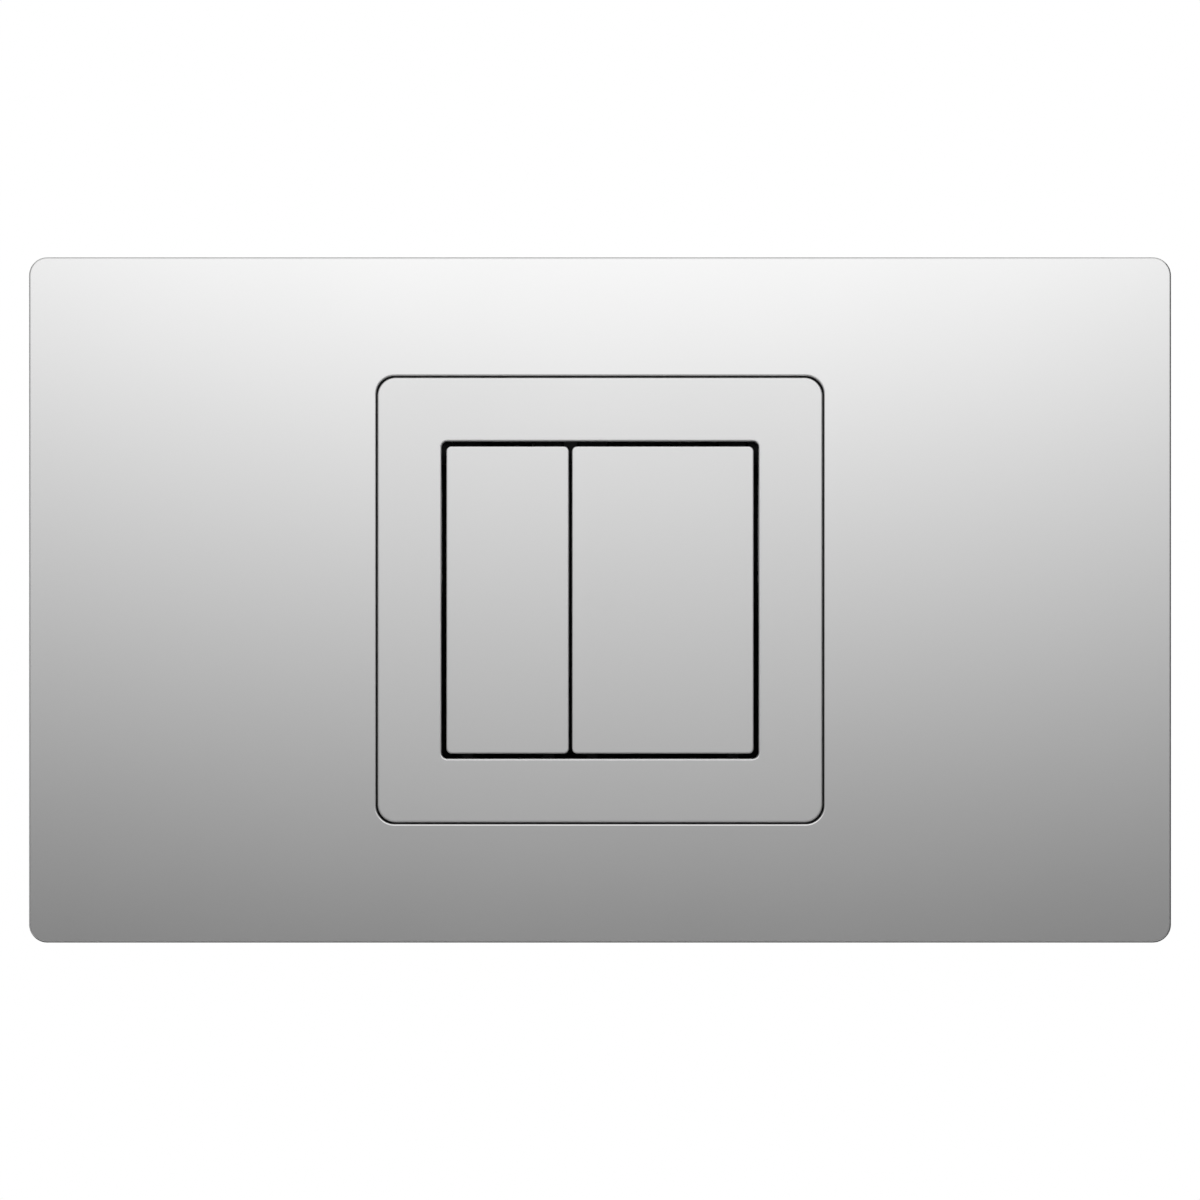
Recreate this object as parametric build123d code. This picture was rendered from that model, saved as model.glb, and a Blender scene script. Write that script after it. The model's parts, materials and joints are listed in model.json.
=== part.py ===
from build123d import *
import os

# Flush button plate for a cistern that is built into a wall, with a narrow key and a wide key.
# Millimetres. The origin is on the wall face behind the middle of the plate.
# +X is right as seen from the room, +Z is up and +Y goes into the wall, so depths are Y values.

# Cover plate
PLATE_WIDTH = 250.0
PLATE_HEIGHT = 150.0
PLATE_PROJECTION = 10.0  # from the wall to the front face
PLATE_FACE = 2.0
PLATE_RIM = 2.0
PLATE_CORNER_RADIUS = 4.0
PLATE_EDGE_ROUND = 0.5
RIB_WALL = 1.2
RIB_HEIGHT = 2.4
RIB_SPACE = 6.0  # from a thumb nut to the rib outside it
RIB_ROW_SPACE = 18.0  # from a thumb nut to the ribs above and below it
BLADE_WALL = 1.8
BLADE_WIDTH = 7.0
BLADE_SPACING = 88.0  # between the upper and lower blades
BLADE_END_GAP = 1.2  # from the end of a blade to the wall

# Bezel and the opening for the keys
OPENING_SIDE = 69.4
OPENING_CORNER_RADIUS = 1.3
BEZEL_BAND = 14.0  # from the opening to the outer edge
BEZEL_CORNER_RADIUS = 4.0  # and of the hole, so that the groove widens at the corners
BEZEL_EDGE_ROUND = 0.45
BEZEL_GROOVE = 0.3  # between the bezel and the cover plate
COLLAR_WALL = 1.2
COLLAR_DEPTH = 2.0
COLLAR_FIT = 0.2
HOOK_WALL = 1.4
HOOK_WIDTH = 8.0
HOOK_INSET = 3.5  # from the bezel's outer edge to the middle of a hook
HOOK_SPACING = 44.0
HOOK_NOSE = 0.7
HOOK_TIP = 1.5
HOOK_PLAY = 0.1
HOOK_BEND_SPACE = 1.0

# Keys
SMALL_KEY_WIDTH = 26.85
KEY_GAP = 1.05  # between the keys and the opening
KEY_SPLIT_GAP = 0.65  # between the two keys
KEY_CORNER_RADIUS = 1.15
KEY_EDGE_ROUND = 0.4
KEY_FACE = 1.8
KEY_SKIRT = 1.4
KEY_DEPTH = 4.5

# Rockers and their hinge
ROCKER_FIT = 0.15
ROCKER_PLATE = 1.8
WEB_WALL = 2.4
WEB_RISE = 1.3  # of the webs behind the skirt of the key
WEB_INSET = 4.5  # from the side of a key to the middle of a web
ARM_ROOT = 15.0
PAD_RADIUS = 6.5
PAD_RISE = 0.4
TOE_WALL = 1.8
TOE_LAP = 3.0  # behind the edge of the carrier's opening
TOE_NECK = 6.0
TOE_SLOPE = 8.0
TOE_GAP = 0.1
HINGE_DROP = 0.65  # from the top of the keys to the hinge line
AXLE_DIAMETER = 3.0
AXLE_FIT = 0.05
BARREL_RADIUS = 3.0
BARREL_LENGTH = 6.0
BARREL_CLEARANCE = 1.0
AXIAL_PLAY = 0.4
AXLE_OVERHANG = 2.2
CLIP_RING_WALL = 0.8
CLIP_RING_WIDTH = 1.6
CLIP_RING_PLAY = 0.2
BUFFER_HEIGHT = 2.6
BUFFER_WIDTH = 5.0
BUFFER_WALL = 1.2
BUFFER_EDGE = 0.2  # from the carrier's opening to a buffer

# Carrier
FLANGE_WALL = 2.5
FLANGE_SIDE_LAP = 17.0
FLANGE_TOP_LAP = 4.0
FLANGE_CORNER_RADIUS = 4.0
TUB_WALL = 1.8
TUB_SIDE_EASE = 0.9
TUB_END_EASE = 1.5
TUB_CORNER_RADIUS = 3.0
TUB_DEPTH_BEHIND_GUIDE = 4.0  # from the front of the guides to the floor of the tub
BEARING_RADIUS = 3.2
FLOOR_WINDOW_MARGIN = 5.0
FLOOR_WINDOW_HEIGHT = 22.0
FLOOR_WINDOW_BOTTOM = 4.0
FLOOR_WINDOW_RADIUS = 2.0
GUSSET_WALL = 1.4
GUSSET_REACH = 4.0
GUSSET_LENGTH = 13.0
GUSSET_DROP = 18.0  # from the hinge line down to the upper gussets
SCREW_INSET = 8.0  # from the edge of the flange to the screws
SCREW_SPACING = 80.0
SCREW_HEAD_DIAMETER = 7.4
SCREW_HEAD_HEIGHT = 1.8
SCREW_HEAD_ROUND = 0.6
SCREW_DIAMETER = 2.6
SCREW_RECESS_LENGTH = 4.0
SCREW_RECESS_WIDTH = 0.9
SCREW_RECESS_DEPTH = 1.0
SCREW_END_GAP = 0.2
BOSS_RADIUS = 2.7
BOSS_FIT = 0.2
BOSS_SKIN = 1.0

# Plungers, springs and rods
PLUNGER_DROP = 17.0  # from the middle of the plate down to the plungers
PLUNGER_GAP = 0.15
PLUNGER_HEAD_RADIUS = 6.6
PLUNGER_HEAD_HEIGHT = 3.5
PLUNGER_DOME_RADIUS = 14.0
STEM_DIAMETER = 9.0
STEM_FIT = 0.2
STEM_BORE_DEPTH = 16.0
GUIDE_RADIUS = 6.8
GUIDE_LENGTH = 14.0
GUIDE_RIB_REACH = 6.0
GUIDE_RIB_HEIGHT = 4.0
SPRING_LENGTH = 11.0
SPRING_WIRE = 0.9
SPRING_MEAN_DIAMETER = 11.2
SPRING_TURNS = 5
SPRING_SEAT = 0.05
ROD_DIAMETER = 6.0
ROD_LENGTH = 50.0
ROD_CHAMFER = 0.6
THREAD_FIT = 0.05
NUT_GAP = 0.3
NUT_ACROSS_FLATS = 12.0
NUT_HEIGHT = 5.0
NUT_CHAMFER_RADIUS = 0.5
TIP_DIAMETER = 10.0
TIP_LENGTH = 10.0
TIP_WALL = 3.0
TIP_ROUND = 1.0

# Mounting frame and its fixings
FRAME_CLEARANCE = 1.0  # from the carrier's flange to the frame
FRAME_SIDE_MARGIN = 10.0
FRAME_END_MARGIN = 5.0
FRAME_CORNER_RADIUS = 5.0
FRAME_PANEL = 1.8
FRAME_WALL = 1.8
FRAME_RIB_WALL = 1.4
FRAME_RIB_SPACING = 50.0
WINDOW_CLEARANCE = 1.5
STUD_OFFSET = 14.0  # from the edge of the carrier's flange to the studs
STUD_DIAMETER = 6.0
STUD_NECK_DIAMETER = 5.0
STUD_REACH = 50.0  # behind the wall face
STUD_SHOULDER = 1.5
STUD_CHAMFER = 0.8
STUD_SLOT_WIDTH = 6.8
STUD_SLOT_LENGTH = 16.0
THUMB_NUT_DIAMETER = 16.0
THUMB_NUT_HEIGHT = 2.8
THUMB_NUT_FLUTES = 18
THUMB_NUT_FLUTE_RADIUS = 0.8
THUMB_NUT_RECESS = 0.3
CLIP_SHEET = 0.5
CLIP_WIDTH = 8.0
CLIP_BASE = 5.3
CLIP_BACK_GAP = 0.4
CLIP_GRIP = 0.1
CLIP_FLARE = 1.0
CLIP_TONGUE = 1.4
CLIP_PINCH = 0.3
CLIP_LEG = 2.0
CLIP_BEND = 0.6
POCKET_FIT = 0.2

# Depths
WALL = 0.0
FRONT = WALL - PLATE_PROJECTION
FACE_BACK = FRONT + PLATE_FACE
FLANGE_BACK = FACE_BACK + FLANGE_WALL
FRAME_FRONT = FLANGE_BACK + FRAME_CLEARANCE
KEY_BACK = FRONT + KEY_DEPTH
ROCKER_FRONT = FRONT + KEY_FACE
ROCKER_BACK = ROCKER_FRONT + ROCKER_PLATE
WEB_BACK = KEY_BACK + WEB_RISE
PAD_BACK = WEB_BACK + PAD_RISE
TOE_FRONT = FLANGE_BACK + BUFFER_WALL + TOE_GAP
TOE_BACK = TOE_FRONT + TOE_WALL
HINGE_Y = FLANGE_BACK + BARREL_RADIUS + BARREL_CLEARANCE
PLUNGER_FRONT = PAD_BACK + PLUNGER_GAP
HEAD_BACK = PLUNGER_FRONT + PLUNGER_HEAD_HEIGHT
GUIDE_FRONT = HEAD_BACK + SPRING_LENGTH
GUIDE_BACK = GUIDE_FRONT + GUIDE_LENGTH
TUB_FLOOR = GUIDE_FRONT + TUB_DEPTH_BEHIND_GUIDE
TUB_BACK = TUB_FLOOR + TUB_WALL
STEM_BACK = GUIDE_BACK + NUT_GAP
STEM_BORE_FRONT = STEM_BACK - STEM_BORE_DEPTH
NUT_BACK = STEM_BACK + NUT_HEIGHT
ROD_BACK = STEM_BORE_FRONT + ROD_LENGTH
TIP_BACK = ROD_BACK + TIP_WALL

# Widths and heights
INNER_WIDTH = PLATE_WIDTH - 2 * PLATE_RIM
INNER_HEIGHT = PLATE_HEIGHT - 2 * PLATE_RIM
INNER_RADIUS = max(PLATE_CORNER_RADIUS - PLATE_RIM, PLATE_EDGE_ROUND)
BEZEL_SIDE = OPENING_SIDE + 2 * BEZEL_BAND
HOLE_SIDE = BEZEL_SIDE + 2 * BEZEL_GROOVE
COLLAR_SIDE = OPENING_SIDE + 2 * COLLAR_WALL
COLLAR_RADIUS = OPENING_CORNER_RADIUS + COLLAR_WALL
CARRIER_OPENING = COLLAR_SIDE + 2 * COLLAR_FIT
FLANGE_WIDTH = HOLE_SIDE + 2 * FLANGE_SIDE_LAP
FLANGE_HEIGHT = HOLE_SIDE + 2 * FLANGE_TOP_LAP
SCREW_X = FLANGE_WIDTH / 2 - SCREW_INSET
HOOK_X = BEZEL_SIDE / 2 - HOOK_INSET
KEY_HEIGHT = OPENING_SIDE - 2 * KEY_GAP
LARGE_KEY_WIDTH = KEY_HEIGHT - KEY_SPLIT_GAP - SMALL_KEY_WIDTH
SMALL_KEY_X = (SMALL_KEY_WIDTH - KEY_HEIGHT) / 2
LARGE_KEY_X = (KEY_HEIGHT - LARGE_KEY_WIDTH) / 2
ROCKER_HALF_HEIGHT = KEY_HEIGHT / 2 - KEY_SKIRT - ROCKER_FIT
HINGE_Z = KEY_HEIGHT / 2 - HINGE_DROP
TOE_BOTTOM = -CARRIER_OPENING / 2 - TOE_LAP
TUB_WIDTH = CARRIER_OPENING + 2 * TUB_SIDE_EASE
TUB_TOP = HINGE_Z + BARREL_RADIUS + TUB_END_EASE
TUB_BOTTOM = TOE_BOTTOM - TUB_END_EASE
TUB_HEIGHT = TUB_TOP - TUB_BOTTOM
TUB_MIDDLE = (TUB_TOP + TUB_BOTTOM) / 2
TUB_OUTER_WIDTH = TUB_WIDTH + 2 * TUB_WALL
TUB_OUTER_HEIGHT = TUB_HEIGHT + 2 * TUB_WALL
TUB_OUTER_BOTTOM = TUB_BOTTOM - TUB_WALL
FRAME_WIDTH = INNER_WIDTH - 2 * FRAME_SIDE_MARGIN
FRAME_HEIGHT = INNER_HEIGHT - 2 * FRAME_END_MARGIN
WINDOW_WIDTH = 2 * SCREW_X + SCREW_HEAD_DIAMETER + 2 * WINDOW_CLEARANCE
WINDOW_HEIGHT = -2 * TUB_OUTER_BOTTOM + 2 * GUSSET_REACH + 2 * WINDOW_CLEARANCE
STUD_X = FLANGE_WIDTH / 2 + STUD_OFFSET
BLADE_Z = BLADE_SPACING / 2
POCKET_WIDTH = CLIP_BASE + 2 * POCKET_FIT
POCKET_HEIGHT = CLIP_WIDTH + 2 * POCKET_FIT
RIB_INNER_X = (FLANGE_WIDTH / 2 + STUD_X - THUMB_NUT_DIAMETER / 2) / 2
RIB_OUTER_X = STUD_X + THUMB_NUT_DIAMETER / 2 + RIB_SPACE
RIB_Z = THUMB_NUT_DIAMETER / 2 + RIB_ROW_SPACE
SIDES = (-1, 1)
CORNERS = [(x, z) for x in SIDES for z in SIDES]


def prism(profile, front, back, x=0.0, z=0.0):
    """Carry a profile, drawn as seen from the room, from one depth to another."""
    return extrude(Plane.XZ.offset(-back) * Pos(x, z) * profile, back - front)


def side_prism(profile, left, right):
    """Carry a profile, drawn in depth and height, from left to right."""
    return extrude(Plane.YZ.offset(left) * profile, right - left)


def plan_prism(profile, bottom, top):
    """Carry a profile, drawn in width and depth, upwards."""
    return extrude(Plane.XY.offset(bottom) * profile, top - bottom)


def front_face(shape):
    """The face nearest to the room."""
    return shape.faces().sort_by(Axis.Y)[0]


def back_face(shape):
    """The face nearest to the wall."""
    return shape.faces().sort_by(Axis.Y)[-1]


def on_hinge(radius):
    """A circle on the hinge line, drawn in depth and height."""
    return Pos(HINGE_Y, HINGE_Z) * Circle(radius)


def web_positions(key_x, key_width):
    """The middles of the two webs of a rocker."""
    reach = key_width / 2 - WEB_INSET
    return [key_x - reach, key_x + reach]


def cover_plate():
    """Front plate with rim, the square hole, and ribs, screw bosses and blades on its back."""
    body = prism(RectangleRounded(PLATE_WIDTH, PLATE_HEIGHT, PLATE_CORNER_RADIUS), FRONT, WALL)
    body = fillet(front_face(body).edges(), PLATE_EDGE_ROUND)
    body -= prism(RectangleRounded(INNER_WIDTH, INNER_HEIGHT, INNER_RADIUS), FACE_BACK, WALL)
    body -= prism(RectangleRounded(HOLE_SIDE, HOLE_SIDE, BEZEL_CORNER_RADIUS), FRONT, FACE_BACK)
    body = fillet(front_face(body).inner_wires()[0].edges(), BEZEL_EDGE_ROUND)
    rib_back = FACE_BACK + RIB_HEIGHT
    column = Rectangle(RIB_WALL, PLATE_HEIGHT - PLATE_RIM)
    row_length = (PLATE_WIDTH - PLATE_RIM) / 2 - RIB_INNER_X
    row = Rectangle(row_length, RIB_WALL)
    for side in SIDES:
        body += prism(column, FACE_BACK, rib_back, side * RIB_INNER_X)
        body += prism(column, FACE_BACK, rib_back, side * RIB_OUTER_X)
    for x, z in CORNERS:
        body += prism(row, FACE_BACK, rib_back, x * (RIB_INNER_X + row_length / 2), z * RIB_Z)
        screw_x = x * SCREW_X
        screw_z = z * SCREW_SPACING / 2
        body += prism(Circle(BOSS_RADIUS), FACE_BACK, FLANGE_BACK, screw_x, screw_z)
        screw_hole = Circle(SCREW_DIAMETER / 2 + THREAD_FIT)
        body -= prism(screw_hole, FRONT + BOSS_SKIN, FLANGE_BACK, screw_x, screw_z)
        blade = Rectangle(BLADE_WALL, BLADE_WIDTH)
        body += prism(blade, FACE_BACK, WALL - BLADE_END_GAP, x * STUD_X, z * BLADE_Z)
    return body


def bezel_frame():
    """Square frame with the opening, a collar behind it and four hooks that hold it."""
    opening = RectangleRounded(OPENING_SIDE, OPENING_SIDE, OPENING_CORNER_RADIUS)
    body = prism(RectangleRounded(BEZEL_SIDE, BEZEL_SIDE, BEZEL_CORNER_RADIUS), FRONT, FACE_BACK)
    collar = RectangleRounded(COLLAR_SIDE, COLLAR_SIDE, COLLAR_RADIUS)
    body += prism(collar, FACE_BACK, FACE_BACK + COLLAR_DEPTH)
    body -= prism(opening, FRONT, FACE_BACK + COLLAR_DEPTH)
    body = fillet(front_face(body).edges(), BEZEL_EDGE_ROUND)
    nose_front = FLANGE_BACK + HOOK_PLAY
    hook_back = nose_front + HOOK_TIP
    for x, z in CORNERS:
        inner_x = x * (HOOK_X - HOOK_WALL / 2)
        outer_x = x * (HOOK_X + HOOK_WALL / 2)
        nose_x = outer_x + x * HOOK_NOSE
        outline = Polyline(
            (inner_x, FACE_BACK),
            (outer_x, FACE_BACK),
            (outer_x, nose_front),
            (nose_x, nose_front),
            (outer_x, hook_back),
            (inner_x, hook_back),
            close=True,
        )
        middle = z * HOOK_SPACING / 2
        body += plan_prism(make_face(outline), middle - HOOK_WIDTH / 2, middle + HOOK_WIDTH / 2)
    return body


def key_cap(key_x, key_width):
    """Face of a key with a skirt round its back."""
    body = prism(RectangleRounded(key_width, KEY_HEIGHT, KEY_CORNER_RADIUS), FRONT, KEY_BACK, key_x)
    body = fillet(front_face(body).edges(), KEY_EDGE_ROUND)
    cavity = Rectangle(key_width - 2 * KEY_SKIRT, KEY_HEIGHT - 2 * KEY_SKIRT)
    return body - prism(cavity, ROCKER_FRONT, KEY_BACK, key_x)


def rocker(key_x, key_width):
    """Lever under a key: plate in the skirt, two webs with barrels and toes, and a push pad."""
    plate = Rectangle(key_width - 2 * (KEY_SKIRT + ROCKER_FIT), 2 * ROCKER_HALF_HEIGHT)
    body = prism(plate, ROCKER_FRONT, ROCKER_BACK, key_x)
    body += prism(Circle(PAD_RADIUS), ROCKER_BACK, PAD_BACK, key_x, -PLUNGER_DROP)
    rib_middle = Pos((ROCKER_FRONT + WEB_BACK) / 2, 0)
    rib = rib_middle * Rectangle(WEB_BACK - ROCKER_FRONT, 2 * ROCKER_HALF_HEIGHT)
    root = Line((KEY_BACK, ROCKER_HALF_HEIGHT - ARM_ROOT), (KEY_BACK, ROCKER_HALF_HEIGHT))
    arm = make_hull(on_hinge(BARREL_RADIUS).edges() + root.edges())
    neck_z = TOE_NECK - ROCKER_HALF_HEIGHT
    toe_outline = Polyline(
        (ROCKER_BACK, -ROCKER_HALF_HEIGHT),
        (ROCKER_BACK, neck_z + TOE_SLOPE),
        (TOE_BACK, neck_z),
        (TOE_BACK, TOE_BOTTOM),
        (TOE_FRONT, TOE_BOTTOM),
        (TOE_FRONT, -ROCKER_HALF_HEIGHT),
        close=True,
    )
    web = rib + arm + make_face(toe_outline)
    for x in web_positions(key_x, key_width):
        body += side_prism(web, x - WEB_WALL / 2, x + WEB_WALL / 2)
        body += side_prism(on_hinge(BARREL_RADIUS), x - BARREL_LENGTH / 2, x + BARREL_LENGTH / 2)
    bore = on_hinge(AXLE_DIAMETER / 2 + AXLE_FIT)
    return body - side_prism(bore, key_x - key_width / 2, key_x + key_width / 2)


def module_carrier():
    """Flange on the cover plate and the tub behind it, with the hinge bearings and the guides."""
    half_tub = TUB_WIDTH / 2
    flange = RectangleRounded(FLANGE_WIDTH, FLANGE_HEIGHT, FLANGE_CORNER_RADIUS)
    opening_radius = COLLAR_RADIUS + COLLAR_FIT
    flange -= RectangleRounded(CARRIER_OPENING, CARRIER_OPENING, opening_radius)
    slot_inner = HOOK_X - HOOK_WALL / 2 - HOOK_BEND_SPACE
    slot_outer = HOOK_X + HOOK_WALL / 2 + HOOK_PLAY
    hook_slot = Rectangle(slot_outer - slot_inner, HOOK_WIDTH + 2 * HOOK_PLAY)
    for x, z in CORNERS:
        flange -= Pos(x * (slot_inner + slot_outer) / 2, z * HOOK_SPACING / 2) * hook_slot
        flange -= Pos(x * SCREW_X, z * SCREW_SPACING / 2) * Circle(BOSS_RADIUS + BOSS_FIT)
    body = prism(flange, FACE_BACK, FLANGE_BACK)
    inner = RectangleRounded(TUB_WIDTH, TUB_HEIGHT, TUB_CORNER_RADIUS)
    outer = RectangleRounded(TUB_OUTER_WIDTH, TUB_OUTER_HEIGHT, TUB_CORNER_RADIUS + TUB_WALL)
    body += prism(outer - inner, FLANGE_BACK, TUB_BACK, 0, TUB_MIDDLE)
    body += prism(outer, TUB_FLOOR, TUB_BACK, 0, TUB_MIDDLE)
    window_z = FLOOR_WINDOW_BOTTOM + FLOOR_WINDOW_HEIGHT / 2
    for key_x, key_width in KEYS:
        window_width = key_width - 2 * FLOOR_WINDOW_MARGIN
        window = RectangleRounded(window_width, FLOOR_WINDOW_HEIGHT, FLOOR_WINDOW_RADIUS)
        body -= prism(window, TUB_FLOOR, TUB_BACK, key_x, window_z)
        body += prism(Circle(GUIDE_RADIUS), GUIDE_FRONT, GUIDE_BACK, key_x, -PLUNGER_DROP)
        rib_length = 2 * (GUIDE_RADIUS + GUIDE_RIB_REACH)
        ribs = Rectangle(rib_length, GUSSET_WALL) + Rectangle(GUSSET_WALL, rib_length)
        body += prism(ribs, TUB_FLOOR, TUB_BACK + GUIDE_RIB_HEIGHT, key_x, -PLUNGER_DROP)
        bore = Circle(STEM_DIAMETER / 2 + STEM_FIT)
        body -= prism(bore, GUIDE_FRONT, GUIDE_BACK, key_x, -PLUNGER_DROP)
    for x, z in CORNERS:
        wall_x = x * (half_tub + TUB_WALL)
        outline = Polyline(
            (wall_x, FLANGE_BACK),
            (wall_x + x * GUSSET_REACH, FLANGE_BACK),
            (wall_x, FLANGE_BACK + GUSSET_LENGTH),
            close=True,
        )
        middle = z * (HINGE_Z - GUSSET_DROP)
        body += plan_prism(make_face(outline), middle - GUSSET_WALL / 2, middle + GUSSET_WALL / 2)
    half_barrel = BARREL_LENGTH / 2 + AXIAL_PLAY
    small_left, small_right = web_positions(SMALL_KEY_X, SMALL_KEY_WIDTH)
    large_left, large_right = web_positions(LARGE_KEY_X, LARGE_KEY_WIDTH)
    body += side_prism(on_hinge(BEARING_RADIUS), -half_tub, small_left - half_barrel)
    body += side_prism(on_hinge(BEARING_RADIUS), large_right + half_barrel, half_tub)
    hanger_middle = Pos(HINGE_Y, (HINGE_Z + TUB_TOP) / 2)
    hanger = on_hinge(BEARING_RADIUS) + hanger_middle * Rectangle(2 * BEARING_RADIUS, TUB_TOP - HINGE_Z)
    body += side_prism(hanger, small_right + half_barrel, large_left - half_barrel)
    axle_hole = on_hinge(AXLE_DIAMETER / 2 + AXLE_FIT)
    return body - side_prism(axle_hole, -half_tub - TUB_WALL, half_tub + TUB_WALL)


def carrier_screws():
    """Pan-head screws that hold the flange on the bosses of the cover plate."""
    head_back = FLANGE_BACK + SCREW_HEAD_HEIGHT
    head = prism(Circle(SCREW_HEAD_DIAMETER / 2), FLANGE_BACK, head_back)
    head = fillet(back_face(head).edges(), SCREW_HEAD_ROUND)
    bar = Rectangle(SCREW_RECESS_LENGTH, SCREW_RECESS_WIDTH)
    recess = bar + Rot(0, 0, 90) * bar
    head -= prism(recess, head_back - SCREW_RECESS_DEPTH, head_back)
    shank_front = FRONT + BOSS_SKIN + SCREW_END_GAP
    screw = head + prism(Circle(SCREW_DIAMETER / 2), shank_front, FLANGE_BACK)
    places = [Pos(x * SCREW_X, 0, z * SCREW_SPACING / 2) for x, z in CORNERS]
    return Compound(children=[place * screw for place in places])


def hinge_axle():
    """Steel pin that both rockers turn on."""
    reach = TUB_OUTER_WIDTH / 2 + AXLE_OVERHANG
    return side_prism(on_hinge(AXLE_DIAMETER / 2), -reach, reach)


def axle_clips():
    """Retaining rings on the ends of the axle."""
    ring = on_hinge(AXLE_DIAMETER / 2 + CLIP_RING_WIDTH) - on_hinge(AXLE_DIAMETER / 2 + AXLE_FIT)
    near = TUB_OUTER_WIDTH / 2 + CLIP_RING_PLAY
    far = near + CLIP_RING_WALL
    return Compound(children=[side_prism(ring, near, far), side_prism(ring, -far, -near)])


def stop_buffers():
    """Rubber pads on the back of the flange that the toes rest against."""
    pad = Rectangle(BUFFER_WIDTH, BUFFER_HEIGHT)
    pad_z = -CARRIER_OPENING / 2 - BUFFER_EDGE - BUFFER_HEIGHT / 2
    pads = []
    for key_x, key_width in KEYS:
        for x in web_positions(key_x, key_width):
            pads.append(prism(pad, FLANGE_BACK, FLANGE_BACK + BUFFER_WALL, x, pad_z))
    return Compound(children=pads)


def plunger(key_x):
    """Slider with a domed head that the rocker pushes, bored from behind for the rod."""
    z = -PLUNGER_DROP
    head = prism(Circle(PLUNGER_HEAD_RADIUS), PLUNGER_FRONT, HEAD_BACK, key_x, z)
    head &= Pos(key_x, PLUNGER_FRONT + PLUNGER_DOME_RADIUS, z) * Sphere(PLUNGER_DOME_RADIUS)
    body = head + prism(Circle(STEM_DIAMETER / 2), HEAD_BACK, STEM_BACK, key_x, z)
    return body - prism(Circle(ROD_DIAMETER / 2 + THREAD_FIT), STEM_BORE_FRONT, STEM_BACK, key_x, z)


def return_spring(key_x):
    """Coil spring between the head of a plunger and its guide."""
    start = HEAD_BACK + SPRING_WIRE / 2 + SPRING_SEAT
    end = GUIDE_FRONT - SPRING_WIRE / 2 - SPRING_SEAT
    coil = Helix((end - start) / SPRING_TURNS, end - start, SPRING_MEAN_DIAMETER / 2)
    wire = sweep(Plane(coil @ 0, z_dir=coil % 0) * Circle(SPRING_WIRE / 2), path=coil)
    return Pos(key_x, start, -PLUNGER_DROP) * Rot(-90, 0, 0) * wire


def push_rod(key_x):
    """Threaded rod that is screwed into a plunger and reaches into the cistern."""
    body = prism(Circle(ROD_DIAMETER / 2), STEM_BORE_FRONT, ROD_BACK, key_x, -PLUNGER_DROP)
    return chamfer(back_face(body).edges(), ROD_CHAMFER)


def lock_nut(key_x):
    """Six-sided nut that locks the rod in the plunger."""
    hexagon = RegularPolygon(NUT_ACROSS_FLATS / 2, side_count=6, major_radius=False)
    profile = fillet(hexagon.vertices(), NUT_CHAMFER_RADIUS)
    profile -= Circle(ROD_DIAMETER / 2 + THREAD_FIT)
    return prism(profile, STEM_BACK, NUT_BACK, key_x, -PLUNGER_DROP)


def rod_tip(key_x):
    """Rubber cap on the end of a rod."""
    z = -PLUNGER_DROP
    body = prism(Circle(TIP_DIAMETER / 2), TIP_BACK - TIP_LENGTH, TIP_BACK, key_x, z)
    body = fillet(back_face(body).edges(), TIP_ROUND)
    bore = Circle(ROD_DIAMETER / 2 + THREAD_FIT)
    return body - prism(bore, TIP_BACK - TIP_LENGTH, ROD_BACK, key_x, z)


def mounting_frame():
    """Ribbed frame on the wall opening, with slots for the studs and pockets for the clips."""
    outline = RectangleRounded(FRAME_WIDTH, FRAME_HEIGHT, FRAME_CORNER_RADIUS)
    window = RectangleRounded(WINDOW_WIDTH, WINDOW_HEIGHT, FRAME_CORNER_RADIUS)
    rim = outline - RectangleRounded(
        FRAME_WIDTH - 2 * FRAME_WALL, FRAME_HEIGHT - 2 * FRAME_WALL, FRAME_CORNER_RADIUS - FRAME_WALL
    )
    walls = rim + RectangleRounded(
        WINDOW_WIDTH + 2 * FRAME_WALL, WINDOW_HEIGHT + 2 * FRAME_WALL, FRAME_CORNER_RADIUS + FRAME_WALL
    )
    slot = SlotOverall(STUD_SLOT_LENGTH, STUD_SLOT_WIDTH, rotation=90)
    slot_boss = SlotOverall(
        STUD_SLOT_LENGTH + 2 * FRAME_WALL, STUD_SLOT_WIDTH + 2 * FRAME_WALL, rotation=90
    )
    pocket = Rectangle(POCKET_WIDTH, POCKET_HEIGHT)
    pocket_boss = Rectangle(POCKET_WIDTH + 2 * FRAME_WALL, POCKET_HEIGHT + 2 * FRAME_WALL)
    field = (FRAME_WIDTH - WINDOW_WIDTH) / 2
    field_x = (FRAME_WIDTH + WINDOW_WIDTH) / 4
    bar = (FRAME_HEIGHT - WINDOW_HEIGHT) / 2
    bar_z = (FRAME_HEIGHT + WINDOW_HEIGHT) / 4
    for side in SIDES:
        walls += Pos(side * STUD_X, 0) * slot_boss
        walls += Pos(side * field_x, 0) * Rectangle(field, FRAME_RIB_WALL)
        for end in SIDES:
            walls += Pos(side * STUD_X, end * BLADE_Z) * pocket_boss
            walls += Pos(side * field_x, end * FRAME_RIB_SPACING / 2) * Rectangle(field, FRAME_RIB_WALL)
            walls += Pos(side * FRAME_RIB_SPACING / 2, end * bar_z) * Rectangle(FRAME_RIB_WALL, bar)
    holes = window
    for side in SIDES:
        holes += Pos(side * STUD_X, 0) * slot
        for end in SIDES:
            holes += Pos(side * STUD_X, end * BLADE_Z) * pocket
    panel = prism(outline - holes, FRAME_FRONT, FRAME_FRONT + FRAME_PANEL)
    return panel + prism(walls - holes, FRAME_FRONT, WALL)


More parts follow.
